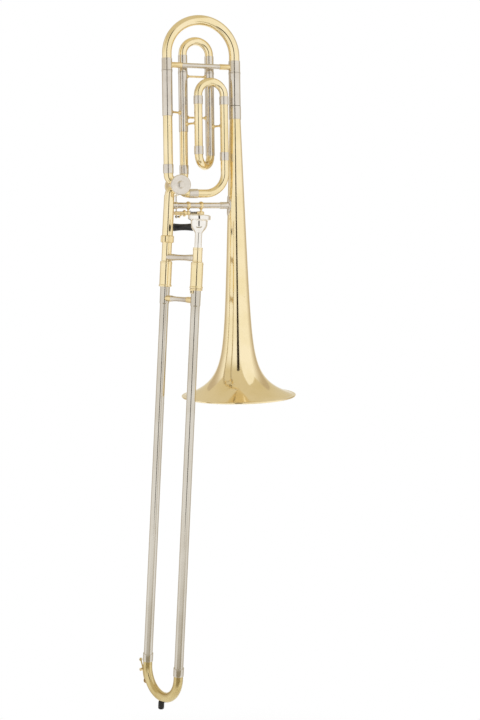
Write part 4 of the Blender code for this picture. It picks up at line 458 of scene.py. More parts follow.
# Each row gives a name, what is done and what with: an input, an earlier name or a number
bellMaths = [
    # how far round, and how far along the rows
    ("turnShare", "ADD", "x", 0.5),
    ("turn", "MULTIPLY", "turnShare", 2 * math.pi),
    ("share", "ADD", "y", 0.5),
    # how high up the bell: down the outer skin and up the inner one, closest at the rim
    ("onInner", "GREATER_THAN", "share", innerStart - hair),
    ("onLast", "GREATER_THAN", "share", bellRows["lastRow"]),
    ("outerRun", "MULTIPLY", "share", (1 - leastClimb) / outerEnd),
    ("outerShare", "SUBTRACT", 1.0, "outerRun"),
    ("pastRim", "SUBTRACT", "share", innerStart),
    ("innerRun", "MULTIPLY", "pastRim", (1 - leastClimb) / bellRows["innerRun"]),
    ("innerShare", "ADD", "innerRun", leastClimb),
    ("innerClimb", "MULTIPLY", "onInner", "innerShare"),
    ("onOuter", "SUBTRACT", 1.0, "onInner"),
    ("outerAtLeast", "MAXIMUM", "outerShare", leastClimb),
    ("outerClimb", "MULTIPLY", "onOuter", "outerAtLeast"),
    ("anyClimb", "ADD", "innerClimb", "outerClimb"),
    ("climb", "MINIMUM", "anyClimb", 1.0),
    # 1 on the outer skin, -1 on the inner one
    ("onSkin", "SUBTRACT", "onInner", "onLast"),
    ("inwardSide", "MULTIPLY", "onSkin", -2.0),
    ("side", "ADD", "inwardSide", 1.0),
    # height, and there the wall's middle radius: a straight stem plus the flare
    ("bellHeight", "SUBTRACT", "Stem Top", "Rim Bead"),
    ("eased", "POWER", "climb", bellRows["crowding"]),
    ("above", "MULTIPLY", "bellHeight", "eased"),
    ("height", "ADD", "above", "Rim Bead"),
    ("toFerrule", "SUBTRACT", "Ferrule Bottom", "height"),
    ("widening", "MULTIPLY", "Stem Taper", "toFerrule"),
    ("stem", "ADD", "Stem Radius", "widening"),
    ("mouthToFerrule", "SUBTRACT", "Ferrule Bottom", "Rim Bead"),
    ("mouthWidening", "MULTIPLY", "Stem Taper", "mouthToFerrule"),
    ("mouthStem", "ADD", "Stem Radius", "mouthWidening"),
    ("rimCentre", "SUBTRACT", "Mouth Radius", "Rim Bead"),
    ("flare", "SUBTRACT", "rimCentre", "mouthStem"),
    ("flareReach", "ADD", "Flare Length", "above"),
    ("ratio", "DIVIDE", "Flare Length", "flareReach"),
    ("falling", "POWER", "ratio", "Flare Power"),
    ("opened", "MULTIPLY", "flare", "falling"),
    ("radius", "ADD", "stem", "opened"),
    # half the wall to either side, square to the slope
    ("steepness", "MULTIPLY", "opened", "Flare Power"),
    ("steepnessHere", "MULTIPLY", "steepness", "ratio"),
    ("flareSlope", "DIVIDE", "steepnessHere", "Flare Length"),
    ("slope", "ADD", "Stem Taper", "flareSlope"),
    ("slopeSquared", "MULTIPLY", "slope", "slope"),
    ("normSquared", "ADD", "slopeSquared", 1.0),
    ("norm", "SQRT", "normSquared", 0.0),
    ("halfWall", "MULTIPLY", "Wall", 0.5),
    ("sideWall", "MULTIPLY", "side", "halfWall"),
    ("offset", "DIVIDE", "sideWall", "norm"),
    ("skinRadius", "ADD", "radius", "offset"),
    ("skinLift", "MULTIPLY", "offset", "slope"),
    ("skinHeight", "ADD", "height", "skinLift"),
    # the rolled rim, a round bead at the mouth
    ("rimShare", "SUBTRACT", "share", outerEnd),
    ("rimRun", "MULTIPLY", "rimShare", rollPerShare),
    ("roll", "ADD", "rimRun", math.radians(bellRows["rollFrom"])),
    ("rollCosine", "COSINE", "roll", 0.0),
    ("rollSine", "SINE", "roll", 0.0),
    ("rimOut", "MULTIPLY", "Rim Bead", "rollCosine"),
    ("rimUp", "MULTIPLY", "Rim Bead", "rollSine"),
    ("rimRadius", "ADD", "rimCentre", "rimOut"),
    ("rimHeight", "ADD", "Rim Bead", "rimUp"),
    ("afterOuter", "GREATER_THAN", "share", outerEnd + hair),
    ("beforeInner", "LESS_THAN", "share", innerStart - hair),
    ("onRim", "MULTIPLY", "afterOuter", "beforeInner"),
    ("turnCosine", "COSINE", "turn", 0.0),
    ("turnSine", "SINE", "turn", 0.0),
]
columns = addNode(bellTree, "ShaderNodeMath", {0: given["Sides"], 1: 1.0}, operation="ADD")
grid = addNode(bellTree, "GeometryNodeMeshGrid", {
    "Size X": 1.0, "Size Y": 1.0, "Vertices X": columns.outputs[0],
    "Vertices Y": given["Rows"]})
here = addNode(bellTree, "GeometryNodeInputPosition")
split = addNode(bellTree, "ShaderNodeSeparateXYZ", {"Vector": here.outputs[0]})
known = {label: given[label] for label in bell}
known["x"], known["y"] = split.outputs["X"], split.outputs["Y"]
for label, operation, first, second in bellMaths:
    worked = addNode(bellTree, "ShaderNodeMath", {
        0: known.get(first, first), 1: known.get(second, second)}, operation=operation)
    known[label] = worked.outputs[0]
away = addNode(bellTree, "GeometryNodeSwitch", {
    "Switch": known["onRim"], "False": known["skinRadius"], "True": known["rimRadius"]},
    input_type="FLOAT")
lift = addNode(bellTree, "GeometryNodeSwitch", {
    "Switch": known["onRim"], "False": known["skinHeight"], "True": known["rimHeight"]},
    input_type="FLOAT")
across = addNode(bellTree, "ShaderNodeMath", {
    0: away.outputs[0], 1: known["turnCosine"]}, operation="MULTIPLY")
deep = addNode(bellTree, "ShaderNodeMath", {
    0: away.outputs[0], 1: known["turnSine"]}, operation="MULTIPLY")
spot = addNode(bellTree, "ShaderNodeCombineXYZ", {
    "X": across.outputs[0], "Y": deep.outputs[0], "Z": lift.outputs[0]})
shaped = addNode(bellTree, "GeometryNodeSetPosition", {
    "Geometry": grid.outputs["Mesh"], "Position": spot.outputs["Vector"]})
welded = addNode(bellTree, "GeometryNodeMergeByDistance", {
    "Geometry": shaped.outputs["Geometry"], "Distance": 1e-6})
endTree(bellTree, welded.outputs["Geometry"], given["Material"])
piece("bell", [grown(bellTree, {**bell, "Material": lacqueredBrass})], "bell_section",
      ["bell_flare"], sharp=60)
print("bell made")

# Tuning slide: two sleeves, two legs, the bow and its brace
tuningSlide = {
    "neckX": -0.127, "neckRadius": 0.0085, "bellRadius": 0.00975, "centreAboveMouth": 0.0304,
    "mouth": 0.593, "legFoot": 0.535, "legFerrule": 0.0215, "neckSleeveBottom": 0.511,
    "bellFerruleLength": 0.024, "bellFerruleStep": 0.0004, "braceHeight": 0.6035,
    "braceRadius": 0.0045, "footRadius": 0.0051, "foot": 0.018,
}
# a turned groove's sizes; the last pair of heights bounds the band of painted shade inside it
groove = {"depth": 0.0003, "flat": 0.0008, "top": 0.0011, "paintedShadeBand": (0.0001, 0.0010)}


def sleeve(x, y, low, high, legRadius, heldRadius, lap=fits["lap"], foot=0.0, footLength=0.0):
    # holds a fixed tube at its foot and takes a slide's leg at its ringed mouth
    bore, socket = legRadius + fits["seat"], heldRadius + fits["seat"]
    outer = max(bore, socket) + fits["wall"] - foot
    ring = outer + fits["bead"]
    outline, bands = [(outer, high - fits["beadLength"])], ()
    if foot:
        # a turned groove marks the top of the bell's ferrule; a band of dark steel grey laid
        # inside it is painted shade
        top = low + footLength
        bands = ((*(top + height for height in groove["paintedShadeBand"]), springSteel),)
        outline += [(outer, top + groove["top"]), (outer - groove["depth"], top + groove["flat"]),
                    (outer - groove["depth"], top), (outer + foot, top), (outer + foot, low)]
    else:
        outline += [(outer, low)]
    outline += [(socket, low), (socket, low + lap), (bore, low + lap), (bore, high),
                (ring, high), (ring, high - fits["beadLength"])]
    return turned(outline, nickelSilver, at(x, y, 0), edge=0.0005, bands=bands)


def slideLeg(x, y, mouth, foot, radius, ferrule, heldRadius):
    # a leg of thin tube with the ferrule that holds the bow
    low = mouth + fits["seat"]
    socket = heldRadius + fits["seat"]
    outer = socket + fits["ferruleWall"]
    ring = outer + fits["bead"] / 2
    floor = low + ferrule - fits["lap"] - fits["seat"]
    return turned([(outer, low + ferrule), (outer, low + fits["beadLength"]),
                   (ring, low + fits["beadLength"]), (ring, low), (radius, low), (radius, foot),
                   (radius - fits["wall"], foot), (radius - fits["wall"], floor),
                   (socket, floor), (socket, low + ferrule)], nickelSilver, at(x, y, 0),
                  edge=0.0005)


def brace(start, end, profile, startSkin, endSkin, material, sides=40, bands=()):
    # profile runs from skin to skin as (distance, radius); negative distances count from the end
    start, end = Vector(start), Vector(end)
    heading = (end - start).normalized()
    length = (end - start).length
    across = heading.cross(up).normalized()
    gap = length - startSkin - endSkin
    shape = bmesh.new()
    rings = []
    for k, (distance, radius) in enumerate(profile):
        out = distance if distance >= 0 else gap + distance
        ringVerts = []
        for i in range(sides):
            phi = 2 * math.pi * i / sides
            reach = radius * math.sin(phi)
            place = startSkin + out
            if k == 0:
                place = math.sqrt(max(startSkin ** 2 - reach ** 2, 0)) - fits["sink"]
            if k == len(profile) - 1:
                place = length - math.sqrt(max(endSkin ** 2 - reach ** 2, 0)) + fits["sink"]
            ringVerts.append(shape.verts.new(start + heading * place
                                             + up * radius * math.cos(phi) + across * reach))
        rings.append(ringVerts)
    for first, second in zip(rings, rings[1:]):
        for i in range(sides):
            n = (i + 1) % sides
            face = shape.faces.new((first[i], first[n], second[n], second[i]))
            middle = (face.calc_center_median() - start).dot(heading)
            for j, band in enumerate(bands):
                if band[0] <= middle <= band[1]:
                    face.material_index = j + 1
    for ringVerts, where in ((rings[0], startSkin), (rings[-1], length - endSkin)):
        middle = shape.verts.new(start + heading * where)
        for i in range(sides):
            shape.faces.new((ringVerts[i], ringVerts[(i + 1) % sides], middle))
    mesh = closedMesh(shape, material)
    for band in bands:
        mesh.materials.append(band[2])
    return mesh


def mirrored(half):
    # a brace's whole profile from its first half
    return half + [(-distance or fits["farEnd"], radius) for distance, radius in reversed(half)]


# A brace's thick foot rounds over at its end and steps down to the rod: ease and step are
# distances before and beyond the end, and the shares are of the foot's radius
feet = {
    "flat": 0.0012,
    "tuning": {"ease": (0.0009, 0.0004), "shares": (0.985, 0.93), "step": (0.0003, 0.0008)},
    "bell": {"ease": (0.0007, 0.0003), "shares": (0.98, 0.94), "step": (0.0004, 0.0010)},
    "slide": {"ease": (0.0009, 0.0004), "shares": (0.985, 0.95), "step": (0.0006,)},
}


def turnedFoot(radius, length, rodRadius, kind):
    ease, shares, step = (feet[kind][part] for part in ("ease", "shares", "step"))
    foot = [(0, radius), (feet["flat"], radius), (length - ease[0], radius),
            (length - ease[1], radius * shares[0]), (length, radius * shares[1])]
    return foot + [(length + beyond, rodRadius) for beyond in step]


def tuningPieces():
    t = tuningSlide
    neckLeg, bellLeg = (t[side] - fits["legSlimmer"] for side in ("neckRadius", "bellRadius"))
    piece("neckTuningSleeve", [sleeve(t["neckX"], 0, t["neckSleeveBottom"], t["mouth"], neckLeg,
                                      t["neckRadius"])],
          "bell_section", ["neck_tuning_sleeve"])
    piece("bellTuningSleeve", [sleeve(
        0, 0, bell["Ferrule Bottom"], t["mouth"], bellLeg, bell["Stem Radius"] + fits["wall"] / 2,
        lap=bell["Stem Top"] - bell["Ferrule Bottom"] + fits["seat"],
        foot=t["bellFerruleStep"], footLength=t["bellFerruleLength"])],
        "bell_section", ["bell_tuning_sleeve"])
    for name, node, x, legRadius, held in (
            ("neckTuningLeg", "tuning_leg_neck", t["neckX"], neckLeg, t["neckRadius"]),
            ("bellTuningLeg", "tuning_leg_bell", 0, bellLeg, t["bellRadius"])):
        piece(name, [slideLeg(x, 0, t["mouth"], t["legFoot"], legRadius, t["legFerrule"], held)],
              "main_tuning_slide", [node])
    low = t["mouth"] + fits["seat"] + t["legFerrule"] - fits["lap"]
    centre = t["mouth"] + t["centreAboveMouth"]
    route = begin((t["neckX"], 0, low), up)
    run(route, centre - low)
    bend(route, right, -t["neckX"] / 2, 180, 72)
    run(route, centre - low)
    piece("tuningBow", [swept(route, (t["neckRadius"], t["bellRadius"]), lacqueredBrass, 56)],
          "main_tuning_slide", ["tuning_bow"])
    startSkin = t["neckRadius"] + fits["seat"] + fits["ferruleWall"]
    endSkin = t["bellRadius"] + fits["seat"] + fits["ferruleWall"]
    foot, length = t["foot"], -t["neckX"]
    profile = mirrored(turnedFoot(t["footRadius"], foot, t["braceRadius"], "tuning"))
    bands = ((0, startSkin + foot, castBrass), (length - endSkin - foot, length, castBrass))
    piece("tuningBrace", [brace((t["neckX"], 0, t["braceHeight"]), (0, 0, t["braceHeight"]),
                                profile, startSkin, endSkin, nickelSilver, bands=bands)],
          "main_tuning_slide", ["tuning_brace"])


tuningPieces()
print("tuning slide made")

# Gooseneck and rotor valve: the casing with its knuckles, cap, plate, rotor and stop arm
valve = {
    "x": -0.110, "z": 0.386, "casingRadius": 0.018, "chamberRadius": 0.016, "front": -0.0205,
    "back": 0.0230, "capRadius": 0.0182, "capThickness": 0.0040, "domeRadius": 0.0070,
    "domeHeight": 0.0018, "bevel": 0.0012, "spigot": 0.0027, "spindle": 0.0026,
    "bossRadius": 0.0060, "bossLength": 0.0050, "knuckleBend": 0.014, "knuckleRun": 0.010,
    "knuckleReach": 0.0024, "upperTurn": 40, "outletTurn": 35, "neckTurn": 37,
    "armThickness": 0.0028, "armWall": 0.0022, "armSink": 0.0004, "studThrow": 0.007,
    "studTurn": 45, "studRadius": 0.0012, "studLength": 0.0052, "studSink": 0.0005,
    "padRadius": 0.0023,
    "flangeDepth": 0.0022, "flangeProud": 0.0007, "flangeSlope": 0.0005,
    "dishDepth": 0.0004, "dishRim": 0.0026, "dishFloor": 0.0016,      # round the cap's dome
    "spindlePast": 0.002, "screwRadius": 0.0021, "screwLow": 0.0002, "screwHigh": 0.0011,
}
gooseneck = {"radius": 0.0085, "ferruleTop": 0.424, "ferruleLength": 0.0165,
             "chamferLength": 0.0006, "chamferDepth": 0.0003}
wrap = {
    "radius": 0.0075, "rearY": 0.0145, "frontY": -0.012, "riserX": -0.094, "returnX": -0.044,
    "leftX": -0.073, "rightX": -0.0246, "riserSleeveBottom": 0.4845,
    "returnSleeveBottom": 0.4416, "legFoot": 0.5055, "legFerrule": 0.0308,
    "centreAboveMouth": 0.0332, "frontTop": 0.5472, "frontRise": 0.0020, "frontFerrule": 0.0150,
    "rightBottom": 0.4310, "returnBend": 0.037, "outletZ": 0.371, "outletX": -0.0845,
}
neckpipe = {
    "tilt": 3.5, "footX": -0.1306, "footZ": 0.290, "top": 0.0782, "topRadius": 0.00935,
    "footRadius": 0.0098, "bore": 0.0083, "footDrop": 0.0029, "taperEnd": 0.012,
    "collar": 0.0035,
    "slideTurn": -64.5,          # degrees from the bell's plane to the hand slide's
}
tilt = math.radians(neckpipe["tilt"])
neckPlace = (Matrix.Translation((neckpipe["footX"], 0, neckpipe["footZ"]))
             @ Matrix.Rotation(tilt, 4, "Y"))
slidePlace = neckPlace @ Matrix.Rotation(math.radians(neckpipe["slideTurn"]), 4, "Z")


def ferrule(x, y, z, heldRadius, axis=None):
    bore = heldRadius + fits["seat"]
    outer = bore + fits["ferruleWall"]
    half = gooseneck["ferruleLength"] / 2
    flat, end = half - gooseneck["chamferLength"], outer - gooseneck["chamferDepth"]
    return turned([(outer, flat), (outer, -flat), (end, -half), (bore, -half), (bore, half),
                   (end, half)], nickelSilver, at(x, y, z, axis), edge=0.0003)


def knuckle(start, heading, towards, degrees, radius):
    route = begin(start, heading)
    run(route, valve["knuckleRun"])
    bend(route, towards, valve["knuckleBend"], degrees, 20)
    run(route, valve["knuckleReach"])
    return swept(route, radius, lacqueredBrass, 48)


def valvePieces():
    v = valve
    middle = gooseneck["ferruleTop"] - gooseneck["ferruleLength"] / 2
    top = tuningSlide["neckSleeveBottom"] + fits["lap"] - fits["seat"]
    x = tuningSlide["neckX"]
    piece("gooseneckTube", [turned(pipe(gooseneck["radius"], gooseneck["radius"] - fits["wall"],
                                        middle + fits["seat"], top), lacqueredBrass, at(x, 0, 0))],
          "bell_section", ["gooseneck_tube"])
    piece("gooseneckFerrule", [ferrule(x, 0, middle, gooseneck["radius"])],
          "bell_section", ["gooseneck_ferrule"])
    forward = at(v["x"], 0, v["z"], backward)
    flange = v["flangeDepth"]
    slope = flange + v["flangeSlope"]
    body = v["casingRadius"] - v["flangeProud"]
    casing = turned([(v["casingRadius"], v["front"]), (v["casingRadius"], v["front"] + flange),
                     (body, v["front"] + slope), (body, v["back"] - slope),
                     (v["casingRadius"], v["back"] - flange), (v["casingRadius"], v["back"]),
                     (v["chamberRadius"], v["back"]), (v["chamberRadius"], v["front"])],
                    lacqueredBrass, forward, sides=96, edge=0.0004)
    neckUp = Vector((math.sin(tilt), 0, math.cos(tilt)))
    neckSide = Vector((math.cos(tilt), 0, -math.sin(tilt)))
    neckLap = neckpipe["top"] - fits["lap"] + fits["seat"]
    neckStart = neckPlace @ Vector((0, 0, neckLap))
    gap = fits["seat"]
    knuckles = [
        knuckle((x, 0, middle - gap), down, right, v["upperTurn"], gooseneck["radius"]),
        knuckle((wrap["riserX"], wrap["rearY"], middle - gap), down, left, v["upperTurn"],
                wrap["radius"]),
        knuckle((wrap["outletX"] - gap, wrap["frontY"], wrap["outletZ"]), left, up,
                v["outletTurn"], wrap["radius"]),
        knuckle(neckStart, neckUp, neckSide, v["neckTurn"], gooseneck["radius"]),
    ]
    piece("rotorCasing", [casing] + knuckles, "bell_section", ["rotor_casing"])
    # front cap: bevelled, with a shallow dish round a plain dome
    front = v["front"] - gap
    face = front - v["capThickness"]
    spigot = v["chamberRadius"] - gap
    dome = smooth([(v["domeRadius"] * out, face - v["domeHeight"] * high) for out, high in (
        (1, -2 / 9), (0.9, 5 / 18), (0.62, 0.72), (0.3, 0.96), (0, 1))], 6)
    outline = [(0, front + v["spigot"]), (spigot, front + v["spigot"]), (spigot, front),
               (v["capRadius"], front), (v["capRadius"], face + v["bevel"]),
               (v["capRadius"] - v["bevel"], face), (v["capRadius"] - v["dishRim"], face),
               (v["domeRadius"] + v["dishFloor"], face + v["dishDepth"])]
    outline += [tuple(p) for p in dome]
    piece("rotorFrontCap", [turned(outline, facedNickel, forward, sides=96)],
          "bell_section", ["rotor_front_cap"])
    back = v["back"] + gap
    end = back + v["capThickness"] * 0.75
    boss = end + v["bossLength"]
    bearing = v["spindle"] + gap
    outline = [(v["bossRadius"], boss), (v["bossRadius"], end), (v["capRadius"] - v["bevel"], end),
               (v["capRadius"], end - v["bevel"]), (v["capRadius"], back), (spigot, back),
               (spigot, back - v["spigot"]), (bearing, back - v["spigot"]), (bearing, boss)]
    piece("rotorBackPlate", [turned(outline, facedNickel, forward, sides=96)],
          "bell_section", ["rotor_back_plate"])
    armLow, armHigh = boss + gap, boss + gap + v["armThickness"]
    coreBack, coreFront = v["back"] - v["spigot"], v["front"] + v["spigot"]
    spindleFront = v["front"] - v["spindlePast"]
    core = turned([(0, armHigh), (v["spindle"], armHigh), (v["spindle"], coreBack),
                   (spigot, coreBack), (spigot, coreFront), (v["spindle"], coreFront),
                   (v["spindle"], spindleFront), (0, spindleFront)], castBrass, forward, sides=64)
    screw = turned(drum(v["screwRadius"], armHigh - v["screwLow"], armHigh + v["screwHigh"]),
                   springSteel, forward, sides=40, edge=0.0004)
    piece("rotor", [core, screw], "rotor", ["rotor"])
    turn = math.radians(v["studTurn"])
    stud = Vector((math.cos(turn), 0, -math.sin(turn))) * v["studThrow"]
    hubRadius = v["spindle"] + gap + v["armWall"]
    centre = Vector((v["x"], (armLow + armHigh) / 2, v["z"]))
    studPlace = at(v["x"] + stud.x, 0, v["z"] + stud.z, backward)
    parts = [turned(pipe(hubRadius, v["spindle"] + gap, armLow, armHigh), springSteel, forward),
             swept([centre + stud.normalized() * (hubRadius - v["armSink"]), centre + stud],
                   v["studRadius"], springSteel, 24),
             turned(drum(v["padRadius"], armLow, armHigh), springSteel, studPlace, sides=40),
             turned(drum(v["studRadius"], armHigh - v["studSink"], armHigh + v["studLength"]),
                    springSteel, studPlace, sides=32)]
    piece("stopArm", parts, "rotor", ["stop_arm"])


valvePieces()
print("valve made")


# F tubing: from the rotor up, round the small tuning slide and back through the front loop
def wrapPieces():
    w = wrap
    mouth = tuningSlide["mouth"]
    leg = w["radius"] - fits["legSlimmer"]
    for name, node, x, low in (
            ("riserSleeve", "f_riser_sleeve", w["riserX"], w["riserSleeveBottom"]),
            ("returnSleeve", "f_return_sleeve", w["returnX"], w["returnSleeveBottom"])):
        piece(name, [sleeve(x, w["rearY"], low, mouth, leg, w["radius"])], "bell_section", [node])
    for name, node, x in (("fLegLeft", "f_leg_left", w["riserX"]),
                          ("fLegRight", "f_leg_right", w["returnX"])):
        piece(name, [slideLeg(x, w["rearY"], mouth, w["legFoot"], leg, w["legFerrule"],
                              w["radius"])], "f_tuning_slide", [node])
    low = mouth + fits["seat"] + w["legFerrule"] - fits["lap"]
    rise = mouth + w["centreAboveMouth"] - low
    route = begin((w["riserX"], w["rearY"], low), up)
    run(route, rise)
    bend(route, right, (w["returnX"] - w["riserX"]) / 2, 180, 48)
    run(route, rise)
    piece("fTuningBow", [swept(route, w["radius"], lacqueredBrass)], "f_tuning_slide", ["f_bow"])
    middle = gooseneck["ferruleTop"] - gooseneck["ferruleLength"] / 2
    piece("inletFerrule", [ferrule(w["riserX"], w["rearY"], middle, w["radius"])], "bell_section",
          ["f_inlet_ferrule"])
    piece("riserTube", [turned(pipe(w["radius"], w["radius"] - fits["wall"], middle + fits["seat"],
                                    w["riserSleeveBottom"] + fits["lap"] - fits["seat"]),
                               lacqueredBrass, at(w["riserX"], w["rearY"], 0))],
          "bell_section", ["f_riser_tube"])
    lap = w["frontFerrule"]
    across = Vector((w["leftX"] - w["returnX"], w["frontY"] - w["rearY"], 0))
    route = begin((w["returnX"], w["rearY"], w["returnSleeveBottom"] + fits["lap"] - fits["seat"]),
                  down)
    run(route, fits["lap"] - fits["seat"])
    bend(route, across, across.length / 2, 180, 48)
    run(route, lap / 2 - fits["seat"])
    piece("rearBow", [swept(route, w["radius"], lacqueredBrass)], "bell_section", ["f_rear_bow"])
    socket = w["radius"] + fits["seat"]
    outer = socket + fits["ferruleWall"]
    for name, node, x, low in (
            ("frontLeftTube", "f_front_left_tube", w["leftX"], w["returnSleeveBottom"]),
            ("frontRightTube", "f_front_right_tube", w["rightX"], w["rightBottom"])):
        high, r, bore = w["frontTop"], w["radius"], w["radius"] - fits["wall"]
        outline = [(outer, high), (outer, high - lap), (r, high - lap), (r, low + lap),
                   (outer, low + lap), (outer, low), (socket, low), (socket, low + lap / 2),
                   (bore, low + lap / 2), (bore, high - lap / 2), (socket, high - lap / 2),
                   (socket, high)]
        bands = ((low, low + lap, nickelSilver), (high - lap, high, nickelSilver))
        piece(name, [turned(outline, lacqueredBrass, at(x, w["frontY"], 0), bands=bands)],
              "bell_section", [node])
    route = begin((w["leftX"], w["frontY"], w["frontTop"] - lap / 2 + fits["seat"]), up)
    run(route, lap / 2 - fits["seat"] + w["frontRise"])
    bend(route, right, (w["rightX"] - w["leftX"]) / 2, 180, 48)
    run(route, lap / 2 - fits["seat"] + w["frontRise"])
    piece("frontBow", [swept(route, w["radius"], lacqueredBrass)], "bell_section",
          ["f_front_bow"])
    start = w["rightBottom"] + lap / 2 - fits["seat"]
    route = begin((w["rightX"], w["frontY"], start), down)
    run(route, start - w["outletZ"] - w["returnBend"])
    bend(route, left, w["returnBend"], 90, 40)
    run(route, w["rightX"] - w["returnBend"] - w["outletX"] - fits["seat"])
    piece("returnBend", [swept(route, w["radius"], lacqueredBrass)], "bell_section",
          ["f_return_bend"])
    piece("outletFerrule", [ferrule(w["outletX"], w["frontY"], w["outletZ"], w["radius"], right)],
          "bell_section", ["f_outlet_ferrule"])


wrapPieces()

wrapBraces = {
    "radius": 0.0019, "foot": 0.0042, "footDepth": 0.0012, "sleeveBrace": 0.5862,
    "neckBrace": 0.5190, "rearBrace": 0.5110, "leftBrace": 0.4985, "rightBrace": 0.4950,
}


def wrapBracePieces():
    b = wrapBraces
    rod, foot, depth = b["radius"], b["foot"], b["footDepth"]
    sleeveSkin = wrap["radius"] + fits["seat"] + fits["wall"]
    neckSkin = gooseneck["radius"] + fits["seat"] + fits["wall"]
    tube = wrap["radius"]
    neck, riser = (tuningSlide["neckX"], 0), (wrap["riserX"], wrap["rearY"])
    back = (wrap["returnX"], wrap["rearY"])
    leftLeg, rightLeg = ((wrap[side], wrap["frontY"]) for side in ("leftX", "rightX"))
    # a flat flange that sweeps down to the rod
    profile = mirrored([
        (0, foot), (depth * 0.35, foot), (depth * 0.6, foot * 0.97), (depth * 0.85, foot * 0.86),
        (depth * 1.1, foot * 0.72), (depth * 1.5, (foot + 1.6 * rod) / 2.6),
        (depth * 2.3, rod * 1.08), (depth * 3.4, rod)])
    for name, node, start, end, startSkin, endSkin in (
            ("sleeveBrace", "brace_f_sleeves", riser, back, sleeveSkin, sleeveSkin),
            ("neckBrace", "brace_neck_riser", neck, riser, neckSkin, sleeveSkin),
            ("rearBrace", "brace_riser_return", riser, back, sleeveSkin, sleeveSkin),
            ("leftBrace", "brace_riser_front", riser, leftLeg, sleeveSkin, tube),
            ("rightBrace", "brace_return_front", back, rightLeg, sleeveSkin, tube)):
        piece(name, [brace((*start, b[name]), (*end, b[name]), profile, startSkin, endSkin,
                           castBrass)], "bell_section", [node])


wrapBracePieces()
print("F tubing made")

# Bell brace, its posts, and the thumb lever that they carry
bellBrace = {
    "z": 0.350, "radius": 0.0055, "sleeveRadius": 0.0065, "sleeveX": -0.031, "foot": 0.006,
    "sleeveLip": 0.0009, "saddleHalfHeight": 0.0185, "saddleHalfWidth": 0.0095,
    "saddleThickness": 0.0012, "saddleEdge": 0.25,       # share of the thickness at its edge
}
# a post's waist is (radius, distance) below the bar and above the shaft's boss
posts = {
    "leftX": -0.091, "rightX": -0.067, "width": 0.006, "wall": 0.0018, "boss": 0.0036,
    "waistTop": ((0.0029, 0.0002), (0.0020, 0.0022)), "waistMiddle": 0.0018,
    "waistFoot": ((0.0022, 0.0004), (0.0026, 0.0013)),
}
lever = {
    "z": 0.336, "shaft": 0.0016, "knob": 0.00375, "knobEnd": -0.1173, "ribs": 5,
    "ribRadius": 0.0007, "knobCore": 0.0005, "knobTip": 0.0001, "knobLand": 0.001,
    "head": 0.0030, "headLength": 0.0020, "hubLength": 0.0052, "hub": 0.0034, "arm": 0.0017,
    "armRoot": (-0.0022, -0.0012), "armShoulder": (-0.010, -0.0065),       # Y and Z
    "armSweep": (0.001, 0.006), "armHollow": 0.003, "armElbow": 0.0015,
    "crankX": -0.0985, "crankThickness": 0.0030, "crankHub": 0.0062, "crankArm": 0.0013,
    "crankSink": 0.0006, "crankPad": 0.0025, "crankPadInset": 0.0003, "crankTurn": 7.5,
    "pinRadius": 0.0013, "pinEnd": 0.0008,
    "springWire": 0.00045, "springTurns": 5, "springTails": (0.0052, 0.0045),
}
touch = {"left": (-0.126, -0.0255, 0.310), "turn": -20, "length": 0.036, "radius": 0.0072,
         "waist": 0.0057, "spindle": 0.022, "round": 0.0012, "boreDepth": 0.002}
link = {"thickness": 0.0028, "wall": 0.0014, "rod": 0.0012, "play": 0.0016}

ribTree, given = newTree("ribRow", [
    ("Ribs", "Int"), ("Pitch", "Float"), ("Row Radius", "Float"), ("Rib Radius", "Float"),
    ("Material", "Material")])
row = addNode(ribTree, "ShaderNodeCombineXYZ", {"Z": given["Pitch"]})
line = addNode(ribTree, "GeometryNodeMeshLine", {
    "Count": given["Ribs"], "Offset": row.outputs["Vector"]})
hoop = addNode(ribTree, "GeometryNodeCurvePrimitiveCircle", {
    "Resolution": 48, "Radius": given["Row Radius"]})
wire = addNode(ribTree, "GeometryNodeCurvePrimitiveCircle", {
    "Resolution": 12, "Radius": given["Rib Radius"]})
rib = addNode(ribTree, "GeometryNodeCurveToMesh", {
    "Curve": hoop.outputs["Curve"], "Profile Curve": wire.outputs["Curve"]})
placed = addNode(ribTree, "GeometryNodeInstanceOnPoints", {
    "Points": line.outputs["Mesh"], "Instance": rib.outputs["Mesh"]})
endTree(ribTree, placed.outputs["Instances"], given["Material"])


def saddle():
    # oval plate that hugs the bell's stem
    b = bellBrace
    shape = bmesh.new()
    rims, turns = 12, 72
    bed = fits["wall"] / 2 + fits["seat"] * 0.3          # from the bell's middle skin
    sheets = []
    for outerSide in (True, False):
        rows = []
        for i in range(rims + 1):
            share = i / rims
            edge = math.sqrt(max(1 - share ** 8, 0))
            points = []
            for k in range(1 if i == 0 else turns):
                phi = 2 * math.pi * k / turns
                z = b["z"] + b["saddleHalfHeight"] * share * math.sin(phi)
                y = b["saddleHalfWidth"] * share * math.cos(phi)
                away = bellRadius(z) + bed
                if outerSide:
                    thin = b["saddleEdge"]
                    away += b["saddleThickness"] * (thin + (1 - thin) * edge)
                points.append(shape.verts.new((-math.sqrt(away ** 2 - y ** 2), y, z)))
            rows.append(points)
        sheets.append(rows)
        for k in range(turns):
            shape.faces.new((rows[0][0], rows[1][k], rows[1][(k + 1) % turns]))
        for first, second in zip(rows[1:], rows[2:]):
            for k in range(turns):
                n = (k + 1) % turns
                shape.faces.new((first[k], first[n], second[n], second[k]))
    for k in range(turns):
        n = (k + 1) % turns
        shape.faces.new((sheets[0][-1][k], sheets[0][-1][n], sheets[1][-1][n], sheets[1][-1][k]))
    return closedMesh(shape, nickelSilver)


